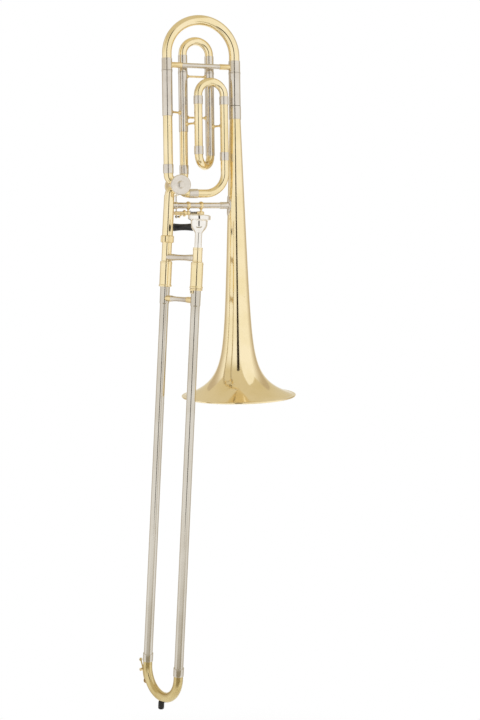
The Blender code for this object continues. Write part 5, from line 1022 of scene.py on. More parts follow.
def bellBracePieces():
    b = bellBrace
    neckAxis = neckPlace @ Vector((0, 0, (b["z"] - neckpipe["footZ"]) / math.cos(tilt)))
    start, end = Vector((neckAxis.x, 0, b["z"])), Vector((0, 0, b["z"]))
    neckSkin = neckpipe["footRadius"]
    bellSkin = bellRadius(b["z"]) + fits["wall"] / 2 + b["saddleThickness"]
    sleeveFrom = end.x - b["sleeveX"] - bellSkin
    r = b["radius"]
    foot, sleeveHalf = (turnedFoot(b["sleeveRadius"], length, r, "bell")
                        for length in (b["foot"], sleeveFrom))
    sleeveHalf[1] = (b["sleeveLip"], b["sleeveRadius"])
    profile = foot + mirrored(sleeveHalf)[len(sleeveHalf):]
    bar = brace(start, end, profile, neckSkin, bellSkin, nickelSilver, sides=56)
    piece("bellBrace", [bar, saddle()], "bell_section", ["bell_brace"])
    p = posts
    collar, half, wall = r + fits["seat"] * 0.5, p["width"] / 2, p["wall"]
    ringOutline = [(collar + wall * thick, half * out) for thick, out in (
        (0.8, 0.55), (1, 0.3), (1, -0.3), (0.8, -0.55), (0.5, -1), (0, -1), (0, 1), (0.5, 1))]
    high, low = b["z"] - collar, lever["z"] + p["boss"]
    waist = smooth([(radius, high - below) for radius, below in p["waistTop"]]
                   + [(p["waistMiddle"], (high + low) / 2)]
                   + [(radius, low - below) for radius, below in p["waistFoot"]], 6)
    stemOutline = [(0, waist[0].y)] + [tuple(q) for q in waist] + [(0, waist[-1].y)]
    for name, node, x in (("leftPost", "lever_post_left", p["leftX"]),
                          ("rightPost", "lever_post_right", p["rightX"])):
        ring = turned(ringOutline, castBrass, at(x, 0, b["z"], right), edge=0.0003)
        boss = turned(pipe(p["boss"], lever["shaft"] + fits["seat"] * 0.6, -half, half), castBrass,
                      at(x, 0, lever["z"], right), edge=0.0006)
        stemShape = turned(stemOutline, castBrass, at(x, 0, 0), sides=40, edge=0)
        piece(name, [ring, boss, stemShape], "bell_section", [node])


bellBracePieces()


def coilPath(axis, centre, start, radius, length, turns, tails, perTurn=36):
    # the wire of a torsion spring, with a straight tail at each end
    axis, side = Vector(axis).normalized(), Vector(start).normalized()
    across = axis.cross(side)
    count = round(turns * perTurn)
    points = []
    for i in range(count + 1):
        turn = 2 * math.pi * i / perTurn
        points.append(Vector(centre) + axis * length * (i / count - 0.5)
                      + (side * math.cos(turn) + across * math.sin(turn)) * radius)
    last = 2 * math.pi * count / perTurn
    points.insert(0, points[0] - across * tails[0])
    points.append(points[-1] + (across * math.cos(last) - side * math.sin(last)) * tails[1])
    return points


def leverPieces():
    v, p = lever, posts
    half = p["width"] / 2
    shaftPlace = at(0, 0, v["z"], right)
    knob = p["leftX"] - half - fits["seat"]
    head = p["rightX"] + half + fits["seat"]
    ribbed = v["crankX"] - v["crankThickness"] - v["knobLand"]
    pitch = (ribbed - v["knobEnd"]) / v["ribs"]
    inner, tip = v["knob"] - v["knobCore"], v["knob"] - v["knobTip"]
    shaft = turned([(0, head + v["headLength"]), (v["head"], head + v["headLength"]),
                    (v["head"], head), (v["shaft"], head), (v["shaft"], knob), (v["knob"], knob),
                    (v["knob"], ribbed), (inner, ribbed - pitch * 0.2),
                    (inner, v["knobEnd"] + pitch * 0.5), (tip, v["knobEnd"] + pitch * 0.4),
                    (tip, v["knobEnd"] + v["knobCore"]), (0, v["knobEnd"])],
                   castBrass, shaftPlace, sides=56)
    ribs = grown(ribTree, {
        "Ribs": v["ribs"] - 1, "Pitch": pitch, "Row Radius": v["knob"] - v["ribRadius"],
        "Rib Radius": v["ribRadius"], "Material": castBrass})
    ribs.transform(shaftPlace @ Matrix.Translation((0, 0, v["knobEnd"] + pitch * 0.9)))
    piece("leverShaft", [shaft, ribs], "thumb_lever", ["lever_shaft"])
    low = p["rightX"] - half - fits["seat"] - v["hubLength"]
    hub = turned(pipe(v["hub"], v["shaft"] + fits["seat"] * 0.5, low, low + v["hubLength"]),
                 castBrass, shaftPlace, sides=56, edge=0.0005)
    turn = math.radians(touch["turn"])
    heading = Vector((math.cos(turn), math.sin(turn), 0))
    leftEnd = Vector(touch["left"]) - Vector((0, 0, v["z"]))
    rightEnd = leftEnd + heading * touch["length"]
    x = low + v["hubLength"] / 2
    # from the hub down and forwards, then round into the touch's right end
    middle, last = v["armSweep"]
    points = smooth([(x, *v["armRoot"]), (x, *v["armShoulder"]),
                     (x - middle, rightEnd.y * 0.65, rightEnd.z * 0.66),
                     (x - last, rightEnd.y - v["armHollow"], rightEnd.z * 0.96),
                     rightEnd + heading * v["armElbow"],
                     rightEnd - heading * touch["spindle"]], 16)
    arm = swept([q + Vector((0, 0, v["z"])) for q in points], v["arm"], castBrass, 32)
    piece("thumbLever", [hub, arm], "thumb_lever", ["thumb_lever"])
    outline = [(0, 0)]
    steps = 28
    for i in range(steps + 1):
        share = i / steps
        grip = touch["waist"] + (touch["radius"] - touch["waist"]) * (2 * share - 1) ** 2
        # the last millimetre at each end rounds over
        rest, curve = min(share, 1 - share) * touch["length"], touch["round"]
        if rest < curve:
            grip -= curve - math.sqrt(max(curve ** 2 - (curve - rest) ** 2, 0))
        outline.append((grip, share * touch["length"]))
    bore, floor = v["arm"] + fits["seat"] * 0.3, touch["length"] - touch["boreDepth"]
    outline += [(bore, touch["length"]), (bore, floor), (0, floor)]
    piece("thumbTouch", [turned(outline, blackPlastic, at(*touch["left"], heading), sides=72,
                                edge=0)], "thumb_lever", ["thumb_touch"])
    crankLow = v["crankX"] - v["crankThickness"] / 2
    crankHigh = v["crankX"] + v["crankThickness"] / 2
    crankTurn, studTurn = math.radians(v["crankTurn"]), math.radians(valve["studTurn"])
    throw = valve["studThrow"] * math.sin(studTurn) / math.sin(crankTurn)
    outward = Vector((0, math.cos(crankTurn), -math.sin(crankTurn)))
    pinAt = outward * throw + Vector((0, 0, v["z"]))
    pinPlace = at(0, pinAt.y, pinAt.z, right)
    linkX = valve["x"] + valve["studThrow"] * (1 + math.cos(studTurn)) / 2
    centre = Vector((v["crankX"], 0, v["z"]))
    parts = [turned(pipe(v["crankHub"], v["knob"] + fits["seat"] * 0.5, crankLow, crankHigh),
                    castBrass, shaftPlace, sides=56, edge=0.0005),
             swept([centre + outward * (v["crankHub"] - v["crankSink"]),
                    centre + outward * throw], v["crankArm"], castBrass, 32),
             turned(drum(v["crankPad"], crankLow + v["crankPadInset"],
                         crankHigh - v["crankPadInset"]), castBrass, pinPlace, sides=40,
                    edge=0.0004),
             turned(drum(v["pinRadius"], linkX - link["thickness"] / 2 - v["pinEnd"], v["crankX"]),
                    springSteel, pinPlace, sides=32, edge=0.0003)]
    piece("crankArm", parts, "thumb_lever", ["crank_arm"])
    lowEye = v["pinRadius"] + fits["seat"]
    highEye = valve["studRadius"] + link["play"]
    halfLink = link["thickness"] / 2
    length = valve["z"] - v["z"]
    base = Vector((linkX, throw * math.cos(crankTurn), v["z"] - throw * math.sin(crankTurn)))
    rodLow = base + up * (lowEye + link["wall"] * 0.6)
    rodHigh = base + up * (length - highEye - link["wall"] * 0.6)
    parts = [turned(pipe(lowEye + link["wall"], lowEye, -halfLink, halfLink), platedSteel,
                    at(*base, right), sides=48, edge=0.0004),
             swept([rodLow, rodHigh], link["rod"], platedSteel, 28),
             turned(pipe(highEye + link["wall"], highEye, -halfLink, halfLink), platedSteel,
                    at(*(base + up * length), backward), sides=56, edge=0.0004)]
    piece("linkRod", parts, "link", ["link_rod"])
    # torsion spring between the left post and the hub
    leftSide, rightSide = p["leftX"] + half, low
    wireRadius = v["springWire"]
    coilRadius = v["shaft"] + 2 * fits["seat"] + wireRadius
    coil = coilPath((1, 0, 0), ((leftSide + rightSide) / 2, 0, v["z"]), (0, -1, 0), coilRadius,
                    rightSide - leftSide - 2 * (wireRadius + fits["seat"]), v["springTurns"],
                    v["springTails"])
    piece("leverSpring", [swept(coil, wireRadius, springSteel, 12)], "thumb_lever",
          ["lever_spring"])


leverPieces()
print("lever and link made")

# Neckpipe, lock nut and inner slide
# a nut's rounding is (distance in from its skin, distance from its end)
nut = {"radius": 0.0120, "length": 0.0130, "flutes": 8, "fluteDepth": 0.0007, "flange": 0.0020,
       "collarRadius": 0.0097, "collar": 0.0015, "fluteFloor": 0.0003,
       "rounding": ((0.0012, 0), (0.0005, 0.0006), (0.0001, 0.0014), (0, 0.002))}
innerSlide = {
    "spacing": 0.085, "jointRadius": 0.0089, "tenon": 0.025, "barrelTop": -0.040,
    "barrelLength": 0.046, "barrelRadius": 0.01075, "barrelWall": 0.0008,
    "cap": 0.0035, "tubeRadius": 0.0068, "stocking": 0.0071,
    "stockingLength": 0.080, "stockingTaper": 0.003, "tubeWall": 0.0005, "foot": -0.735,
    "receiverLength": 0.025, "receiverRadius": 0.0083,
    # rings as (1 on a ring or 0 between, distance from the mouth or from the foot)
    "mouthRings": ((1, 0), (1, 0.0012), (0, 0.0017), (0, 0.0030), (1, 0.0034), (1, 0.0042),
                   (0, 0.0047)),
    "footRing": ((0, 0.0030), (1, 0.0026), (1, 0.0006), (0, 0)),
    # steps as (how far they stand out, distance from the barrel's top or foot)
    "barrelTopSteps": ((-0.0005, 0), (0, 0.001), (0, 0.0030), (0.0004, 0.0034),
                       (0.0004, 0.0046), (0, 0.0050)),
    "barrelFootSteps": ((0, 0.0040), (0.0010, 0.0025), (0.0010, 0.0008), (0, 0)),
    "braceZ": -0.0330,
    "braceRadius": 0.0063, "braceWaist": 0.0052, "braceFoot": 0.0050,
    "braceFootSteps": ((0, 1), (0.0012, 1), (0.0036, 1), (0.0041, 0.985), (0.0044, 0.965)),
    "lockRingRadius": 0.0112, "lockRingWidth": 0.0030, "lockRingBore": 0.0087,
    "tabDrop": 0.0052, "tabWidth": 0.0070, "tabInset": 0.0003, "tabStep": 0.0005,
    "rivet": 0.0016, "rivetDepth": 0.0006, "rivetHead": 0.0003, "rivetSink": 0.0002,
}
mouthpiece = {
    "rim": 0.0197, "rimHeight": 0.0100, "round": 0.0024, "cupOuter": 0.0148, "cup": 0.0129,
    "cupDepth": 0.0240, "bowl": 0.0320, "shown": 0.057, "inserted": 0.025, "waist": 0.0062,
    "end": 0.0056, "endWall": 0.0008, "throat": 0.0034, "throatLength": 0.012,
    "shankLand": 0.0040,
}

fluteTree, given = newTree("fingerFlutes", [
    ("Flutes", "Float"), ("Depth", "Float"), ("Beyond", "Float"), ("Material", "Material")])
here = addNode(fluteTree, "GeometryNodeInputPosition")
split = addNode(fluteTree, "ShaderNodeSeparateXYZ", {"Vector": here.outputs[0]})
flat = addNode(fluteTree, "ShaderNodeCombineXYZ", {
    "X": split.outputs["X"], "Y": split.outputs["Y"]})
far = addNode(fluteTree, "ShaderNodeVectorMath", {0: flat.outputs[0]}, operation="LENGTH")
angle = addNode(fluteTree, "ShaderNodeMath", {
    0: split.outputs["Y"], 1: split.outputs["X"]}, operation="ARCTAN2")
times = addNode(fluteTree, "ShaderNodeMath", {
    0: angle.outputs[0], 1: given["Flutes"]}, operation="MULTIPLY")
wave = addNode(fluteTree, "ShaderNodeMath", {0: times.outputs[0]}, operation="COSINE")
# narrow lands between wider hollows
hollow = addNode(fluteTree, "ShaderNodeMapRange", {
    "Value": wave.outputs[0], "From Min": -1.0, "From Max": 0.75, "To Min": given["Depth"],
    "To Max": 0.0}, interpolation_type="SMOOTHSTEP")
reached = addNode(fluteTree, "ShaderNodeMath", {
    0: far.outputs["Value"], 1: given["Beyond"]}, operation="GREATER_THAN")
cutBy = addNode(fluteTree, "ShaderNodeMath", {
    0: hollow.outputs["Result"], 1: reached.outputs[0]}, operation="MULTIPLY")
back = addNode(fluteTree, "ShaderNodeMath", {0: cutBy.outputs[0], 1: -1.0}, operation="MULTIPLY")
outward = addNode(fluteTree, "ShaderNodeVectorMath", {0: flat.outputs[0]}, operation="NORMALIZE")
inward = addNode(fluteTree, "ShaderNodeVectorMath", {
    0: outward.outputs[0], "Scale": back.outputs[0]}, operation="SCALE")
moved = addNode(fluteTree, "GeometryNodeSetPosition", {
    "Geometry": given["Geometry"], "Offset": inward.outputs[0]})
endTree(fluteTree, moved.outputs["Geometry"], given["Material"])


def neckPieces():
    n, s = neckpipe, innerSlide
    socket, shoulder = gooseneck["radius"] + fits["seat"], n["top"] - fits["lap"]
    outline = [(n["topRadius"], n["top"]), (n["footRadius"], n["taperEnd"]),
               (n["footRadius"], -n["footDrop"]), (n["bore"], -n["footDrop"]),
               (n["bore"], shoulder), (socket, shoulder), (socket, n["top"])]
    # a slim brass collar covers the joint with the knuckle
    collar = turned(pipe(n["topRadius"], socket - fits["sink"], n["top"] - n["collar"],
                         n["top"]), lacqueredBrass, neckPlace, edge=0.0004)
    piece("neckpipe", [turned(outline, lacqueredBrass, neckPlace, sides=72), collar],
          "bell_section", ["neckpipe"])
    low = -n["footDrop"] - 2 * fits["seat"] - nut["collar"] - nut["flange"]
    high = low + nut["length"]
    bore, neck = n["footRadius"] + fits["seat"], s["jointRadius"] + fits["seat"]
    r, rounding, sidesPerFlute = nut["radius"], nut["rounding"], 20
    outline = [(r - inset, high - rise) for inset, rise in rounding]
    outline += [(r, (low + high) / 2)]
    outline += [(r - inset, low + rise) for inset, rise in reversed(rounding)]
    outline += [(neck, low), (neck, low + nut["flange"]), (bore, low + nut["flange"]),
                (bore, high)]
    plain = turned(outline, castBrass, sides=nut["flutes"] * sidesPerFlute, edge=0.0002)
    fluted = grown(fluteTree, {"Flutes": float(nut["flutes"]), "Depth": nut["fluteDepth"],
                               "Beyond": bore + nut["fluteFloor"], "Material": castBrass}, plain)
    piece("lockNut", [fluted], "lock_nut", ["bell_lock_nut"], sharp=50,
          place=neckPlace)
    top, foot = s["tenon"], s["barrelTop"] + fits["seat"]
    collarTop = -n["footDrop"] - fits["seat"]
    tenon, tubeBore = n["bore"] - fits["seat"], s["stocking"] + fits["seat"] / 2
    outline = [(tenon, top), (tenon, collarTop), (nut["collarRadius"], collarTop),
               (nut["collarRadius"], collarTop - nut["collar"]),
               (s["jointRadius"], collarTop - nut["collar"]), (s["jointRadius"], foot),
               (tubeBore, foot), (tubeBore, top)]
    piece("slideJointTube", [turned(outline, lacqueredBrass, slidePlace)], "inner_slide",
          ["slide_joint_tube"])
    top = foot + s["receiverLength"]
    narrow, wide = mouthpiece["waist"] + fits["seat"], s["tubeRadius"] + fits["seat"]
    skin = s["receiverRadius"]
    bead = fits["bead"] * 0.6
    outline = [(skin + bead * on, top - below) for on, below in s["mouthRings"]]
    outline += [(skin + bead * on, foot + above) for on, above in s["footRing"]]
    outline += [(wide, foot), (wide, foot + fits["lap"]), (narrow, foot + fits["lap"]),
                (narrow, top)]
    piece("mouthpieceReceiver", [turned(outline, lacqueredBrass,
                                        slidePlace @ at(s["spacing"], 0, 0))],
          "inner_slide", ["mouthpiece_receiver"])
    barrelTop, barrelFoot = s["barrelTop"], s["barrelTop"] - s["barrelLength"]
    hole = s["tubeRadius"] + fits["seat"]
    r = s["barrelRadius"]
    inside, cap = r - s["barrelWall"], barrelTop - s["cap"]
    barrel = [(r + out, barrelTop - below) for out, below in s["barrelTopSteps"]]
    barrel += [(r + out, barrelFoot + above) for out, above in s["barrelFootSteps"]]
    barrel += [(inside, barrelFoot), (inside, cap), (hole, cap), (hole, barrelTop)]
    top, foot = barrelTop + fits["lap"], s["foot"]
    stocking, bore = foot + s["stockingLength"], s["tubeRadius"] - s["tubeWall"]
    tube = [(s["tubeRadius"], top), (s["tubeRadius"], stocking + s["stockingTaper"]),
            (s["stocking"], stocking), (s["stocking"], foot), (bore, foot), (bore, top)]
    for side, x in (("neck", 0), ("mouthpiece", s["spacing"])):
        sidePlace = slidePlace @ at(x, 0, 0)
        piece("corkBarrel" + side.capitalize(),
              [turned(barrel, lacqueredBrass, sidePlace, sides=72, edge=0.0004)],
              "inner_slide", ["barrel_" + side])
        piece("innerTube" + side.capitalize(), [turned(tube, slideNickel, sidePlace)],
              "inner_slide", ["inner_tube_" + side])
    f, w = s["braceRadius"], s["braceWaist"]
    span = s["spacing"] - s["jointRadius"] - s["receiverRadius"]
    half = [(distance, f * share) for distance, share in s["braceFootSteps"]]
    # from its feet the bar narrows to a waist in the middle
    foot, shoulder, count = s["braceFoot"], f * 0.975, 12
    for i in range(count):
        share = i / count
        waist = 0.5 - 0.5 * math.cos(math.pi * min(share * 1.25, 1))
        half.append((foot + (span / 2 - foot) * share, shoulder + (w - shoulder) * waist))
    bar = brace((0, 0, s["braceZ"]), (s["spacing"], 0, s["braceZ"]), mirrored(half),
                s["jointRadius"], s["receiverRadius"], nickelSilver, sides=56)
    piece("innerSlideBrace", [bar], "inner_slide", ["inner_slide_brace"],
          place=slidePlace)
    # lock ring with its hooked tab and its rivet
    high = barrelFoot - fits["seat"]
    low = high - s["lockRingWidth"]
    r, bore = s["lockRingRadius"], s["lockRingBore"] + 2 * fits["seat"]
    lockPlace = slidePlace @ at(s["spacing"], 0, 0)
    ring = turned(pipe(r, bore, low, high), castBrass, lockPlace, edge=0.0004)
    half = s["tabWidth"] / 2
    tab = box((-half, -r + s["tabInset"], low - s["tabDrop"]),
              (half, -bore - fits["sink"], high - s["tabStep"]), castBrass, lockPlace, 0.0006)
    rivet = turned(drum(s["rivet"], -s["rivetDepth"], s["rivetHead"]), springSteel,
                   lockPlace @ at(0, s["rivetSink"] - r, low - s["tabDrop"] * 0.45, -backward),
                   sides=28, edge=0.0002)
    piece("slideLockRing", [ring, tab, rivet], "slide_lock", ["slide_lock_ring"])


neckPieces()


def mouthpiecePiece():
    # every point is (radius, depth below the rim's top)
    m = mouthpiece
    top = innerSlide["barrelTop"] + fits["seat"] + innerSlide["receiverLength"] + m["shown"]
    r, cup, curve = m["rim"], m["cup"], m["round"]
    foot, side, outer = m["rimHeight"], m["rimHeight"] - m["round"], m["cupOuter"]
    rim = smooth([(cup + 0.0009, 0.0009), (cup + curve, 0.00005), ((cup + r) / 2 + 0.0004, 0.0),
                  (r - curve / 2, curve / 4), (r - 0.0003, curve * 0.62), (r, curve)], 8)
    edge = [(r, curve * 1.3), (r, side), (r - 0.0003, side + 0.0005)]
    # from under the rim down the bowl, into the waist
    bowl = smooth([(r - 0.0008, side + 0.0008), (outer + 0.0018, foot - 0.0008),
                   (outer + 0.0002, foot + 0.0006), (outer - 0.0001, foot + 0.0024),
                   (outer - 0.0002, (foot + m["cupDepth"]) / 2),
                   (outer * 0.90, m["cupDepth"] - 0.0022), (outer * 0.74, m["cupDepth"] + 0.0018),
                   (m["waist"] * 1.32, m["bowl"] - 0.0028),
                   (m["waist"] * 1.06, m["bowl"] - 0.0004), (m["waist"], m["bowl"] + curve)], 8)
    end = m["shown"] + m["inserted"]
    shank = [(m["waist"], m["bowl"] + m["shankLand"]), (m["waist"], m["shown"]), (m["end"], end),
             (m["end"] - m["endWall"], end), (m["throat"], m["cupDepth"] + m["throatLength"])]
    # the cup's inside is part of an oval, a little deeper than the cup
    inner, steps, oval = [], 24, m["cupDepth"] * 1.03
    for i in range(steps + 1):
        depth = m["cupDepth"] * (1 - i / steps) + curve / 2 * i / steps
        inner.append((max(m["throat"], cup * math.sqrt(1 - (depth / oval) ** 2)), depth))
    outline = [tuple(Vector(q)) for q in rim + edge + bowl] + shank + inner
    outline = [(radius, top - depth) for radius, depth in outline]
    piece("mouthpiece", [turned(outline, silverPlate, slidePlace @ at(innerSlide["spacing"], 0, 0),
                                sides=96, edge=0)], "mouthpiece", ["mouthpiece"])


mouthpiecePiece()
print("neckpipe, inner slide and mouthpiece made")

# Outer slide and water key
outerSlide = {
    "top": -0.060, "foot": -0.7535, "wall": 0.0005, "sleeveLength": 0.055, "sleeveRadius": 0.0087,
    "braceZ": -0.1065, "braceRadius": 0.0044, "footRadius": 0.0055, "braceFoot": 0.022,
    "footStep": 0.0010, "brassFoot": 0.0125, "crookRadius": 0.0082, "crookStraight": 0.0155,
    "crookFerrule": 0.0135, "crookLap": 0.0090, "sleeveTaper": 0.002,
    "bumperRadius": 0.0052, "bumperLength": 0.0135,
    # the rubber's rounding as (distance in from its skin, distance up from its end or its top)
    "bumperToe": ((0.0024, 0.00002), (0.0010, 0.0003), (0.0002, 0.0012), (0, 0.0024)),
    "bumperCuff": ((0, -0.0020), (0.0004, -0.0004), (0.0012, 0.0004)), "bumperTop": 0.0010,
    "studRadius": 0.0028,
    "studLength": 0.0080, "studRoot": 0.003,
}
waterKey = {
    "pivotTurn": 12, "nippleTurn": 33, "pivotHeight": 0.0052, "pin": 0.0011, "hub": 0.0022,
    "hubHalf": 0.0050, "cheek": 0.0014, "cheekRadius": 0.0026, "nipple": 0.0026,
    "nippleHeight": 0.0020, "nippleRoot": 0.002, "nippleBore": 0.0012, "cork": 0.0034,
    "corkThickness": 0.0016, "cup": 0.0042, "cupThickness": 0.0016, "finger": 0.0155,
    "fingerRise": 0.0050, "fingerPlate": 0.0030, "fingerThickness": 0.0018, "arm": 0.0013,
    "armSink": 0.0008, "armArch": 0.0012, "armRise": 0.0004,
    "cupLip": ((0.0010, 0.0002), (0.0008, 0), (0, 0.0002)),    # in from its skin, and up
    "postRadii": (0.0013, 0.0016), "postRoot": 0.0040, "pinProud": 0.0004,
    "springWire": 0.00035, "springTurns": 1.7, "springTails": (0.0070, 0.0050),
}


def outerPieces():
    s, o, k = innerSlide, outerSlide, waterKey
    radius, bore = s["stocking"] + fits["seat"] + o["wall"], s["stocking"] + fits["seat"]
    socket = o["crookRadius"] + fits["seat"]
    shell = socket + fits["ferruleWall"]
    crookTop = o["foot"] + o["crookLap"]
    sleeveFoot, ferruleTop = o["top"] - o["sleeveLength"], o["foot"] + o["crookFerrule"]
    lapTop = crookTop + fits["seat"]
    outline = [(o["sleeveRadius"], o["top"]), (o["sleeveRadius"], sleeveFoot),
               (radius, sleeveFoot - o["sleeveTaper"]), (radius, ferruleTop),
               (shell, ferruleTop), (shell, o["foot"]), (socket, o["foot"]), (socket, lapTop),
               (bore, lapTop), (bore, o["top"])]
    for side, x in (("neck", 0), ("mouthpiece", s["spacing"])):
        piece("outerTube" + side.capitalize(),
              [turned(outline, slideNickel, slidePlace @ at(x, 0, 0), sides=72)],
              "outer_slide", ["outer_tube_" + side])
    r, f, foot, brass = o["braceRadius"], o["footRadius"], o["braceFoot"], o["brassFoot"]
    # its brass foot, then the nickel one that tapers to the rod
    half = turnedFoot(f, brass, f * 0.93, "slide")
    half += [(foot, r * 1.02), (foot + o["footStep"], r)]
    skin, length = o["sleeveRadius"], s["spacing"]
    bands = ((0, skin + brass, castBrass), (length - skin - brass, length, castBrass))
    bar = brace((0, 0, o["braceZ"]), (length, 0, o["braceZ"]), mirrored(half), skin, skin,
                nickelSilver, bands=bands)
    piece("outerSlideBrace", [bar], "outer_slide", ["outer_slide_brace"],
          place=slidePlace)
    bendRadius = s["spacing"] / 2
    bendZ = crookTop - o["crookStraight"]
    skinRadius = bendRadius + o["crookRadius"]

    def crookPoint(degrees, distance):
        # a point beside the crook's bend, in the slide's own plane
        turn = math.radians(degrees)
        return Vector((bendRadius - distance * math.cos(turn), 0,
                       bendZ - distance * math.sin(turn)))

    route = begin((0, 0, crookTop), down)
    run(route, o["crookStraight"])
    bend(route, right, bendRadius, 180, 64)
    run(route, o["crookStraight"])
    parts = [swept(route, o["crookRadius"], handledBrass, 56)]
    pivot = crookPoint(k["pivotTurn"], skinRadius + k["pivotHeight"])
    inward = (crookPoint(k["pivotTurn"], 0) - pivot).normalized()
    for side in (-1, 1):
        eye = pivot + backward * side * (k["hubHalf"] + fits["seat"] + k["cheek"] / 2)
        parts.append(turned(drum(k["cheekRadius"], -k["cheek"] / 2, k["cheek"] / 2), castBrass,
                            at(*eye, backward), sides=40, edge=0.0003))
        parts.append(swept([eye, eye + inward * (k["pivotHeight"] + k["postRoot"])],
                           k["postRadii"], castBrass, 24))
    reach = k["hubHalf"] + fits["seat"] + k["cheek"] + k["pinProud"]
    parts.append(turned(drum(k["pin"], -reach, reach), springSteel, at(*pivot, backward),
                        sides=28, edge=0.0003))
    low, high = (crookPoint(k["nippleTurn"], skinRadius + rise)
                 for rise in (-k["nippleRoot"], k["nippleHeight"]))
    parts.append(turned(pipe(k["nipple"], k["nippleBore"], 0, (high - low).length), castBrass,
                        at(*low, high - low), sides=40))
    bottom = Vector((bendRadius, 0, bendZ - skinRadius))
    parts.append(turned(drum(o["studRadius"], -o["studLength"], o["studRoot"]), castBrass,
                        at(*bottom), sides=40))
    piece("slideCrook", parts, "outer_slide", ["slide_crook"],
          place=slidePlace)
    tip, drop = o["bumperRadius"], -o["bumperLength"]
    toe = smooth([(tip - inset, drop + rise) for inset, rise in o["bumperToe"]], 5)
    cuff = [(tip - inset, rise) for inset, rise in o["bumperCuff"]]
    outline = [(0, drop)] + [tuple(q) for q in toe] + cuff + [(0, o["bumperTop"])]
    piece("bumper", [turned(outline, blackRubber, at(*bottom), sides=56, edge=0)], "outer_slide",
          ["bumper"], place=slidePlace)

    # water key: hub, arm, cup with its cork, finger plate
    corkFoot = crookPoint(k["nippleTurn"], skinRadius + k["nippleHeight"] + fits["seat"])
    outward = (corkFoot - crookPoint(k["nippleTurn"], 0)).normalized()
    cupFoot = corkFoot + outward * (k["corkThickness"] + fits["seat"])
    cupTop = cupFoot + outward * k["cupThickness"]
    away = (pivot - crookPoint(0, 0)).normalized()
    along = Vector((-away.z, 0, away.x))
    along *= math.copysign(1, along.z)           # towards the top of the slide
    finger = along * k["finger"] + away * k["fingerRise"]
    cupPart = cupTop - pivot
    armPath = smooth([cupPart - outward * k["armSink"], cupPart * 0.6 + away * k["armArch"],
                      away * k["armRise"],
                      finger * 0.55, finger], 12)
    tipPlace = at(*(pivot + finger - away * k["fingerThickness"] / 2), away)
    cup, thick = k["cup"], k["cupThickness"]
    lip = [(cup - inset, rise) for inset, rise in k["cupLip"]]
    cupOutline = [(0, lip[0][1])] + lip + [(cup, thick * 0.5), (cup * 0.8, thick * 0.85),
                                           (0, thick)]
    parts = [turned(drum(k["hub"], -k["hubHalf"], k["hubHalf"]), handledBrass,
                    at(*pivot, backward), sides=40, edge=0.0004),
             swept([pivot + q for q in armPath], k["arm"], handledBrass, 28),
             turned(cupOutline, handledBrass, at(*cupFoot, outward), sides=48, edge=0.0003),
             turned(drum(k["fingerPlate"], 0, k["fingerThickness"]), handledBrass, tipPlace,
                    sides=40, edge=0.0006)]
    piece("waterKey", parts, "water_key", ["water_key_lever"],
          place=slidePlace)
    pad = turned(drum(k["cork"], 0, k["corkThickness"]), cork, at(*corkFoot, outward), sides=40)
    piece("waterKeyCork", [pad], "water_key", ["water_key_cork"], place=slidePlace)
    half = (k["hubHalf"] - k["arm"]) / 2
    coil = coilPath(backward, pivot + backward * (k["hubHalf"] + k["arm"]) / 2,
                    backward.cross(away * 0.8 - along * 0.5),
                    k["hub"] + fits["seat"] + k["springWire"],
                    2 * (half - k["springWire"] - fits["seat"]), k["springTurns"],
                    k["springTails"], 40)
    piece("waterKeySpring", [swept(coil, k["springWire"], springSteel, 12)], "water_key",
          ["water_key_spring"], place=slidePlace)


outerPieces()
print("outer slide and water key made")

# Studio: the camera of the photograph, white all round, and cards that the metal mirrors
studio = {
    "cameraPlace": (-0.5662, -1.7865, 0.2651), "yaw": -17.766, "roll": -0.7686,
    "lens": 51.01, "sensor": 36.0, "shift": -0.1504, "clip": (0.05, 50), "skyLight": 0.63,
    "slideRoom": 0.625,          # the floor lies below the slide pulled right out
    "floorCentre": (0.0, 0.15), "floorRadius": 1.25, "floorFade": (0.45, 0.97),
    "paper": "#fcfcfb",
}
# Each card stands upright. Its azimuth is measured from the camera's side of the object, and
# its tone fades to white across its width, or up its height where upright says so
cards = {
    # the thin dark line down every tube
    "frontCard": {"azimuth": 0, "distance": 3.4, "low": -3.2, "high": 2.9, "width": 0.95,
                  "tone": "#2c2218"},
    # the darker edges of each tube
    "leftCard": {"azimuth": 118, "distance": 3.4, "low": -3.0, "high": 3.2, "width": 4.4,
                 "tone": "#c5b9a7", "fade": (-2.2, 1.4)},
    "rightCard": {"azimuth": -118, "distance": 3.4, "low": -3.0, "high": 3.2, "width": 4.4,
                  "tone": "#c5b9a7", "fade": (2.2, -1.4)},
    # the bright patch that runs down the flare
    "windowCard": {"azimuth": -55, "distance": 1.5, "low": -0.3, "high": 5.0, "width": 2.4,
                   "tone": "#ffffff", "slant": 4.0},
    # low in front: the lower ends of the slide lose their line
    "lowCard": {"azimuth": 0, "distance": 1.2, "low": -1.3, "high": -0.35, "width": 2.6,
                "tone": "#ada48e", "upright": (-0.35, -0.8)},
}
# over and behind: the ochre of the bows and of the bell's flare
domeCard = {"radius": 7, "cutBelow": -1.2, "tone": "#dad1ba", "fade": (0.3, 3.4), "up": 0.97,
            "back": 0.25}
lights = {
    "keyLight": {"place": (-1.9, -1.6, 2.2), "energy": 34, "size": 1.6},
    "fillLight": {"place": (2.1, -1.5, 1.5), "energy": 22, "size": 1.8},
    "topLight": {"place": (0.2, 0.6, 2.8), "energy": 16, "size": 1.8},
}
lightsTarget = Vector((0, 0, 0.05))


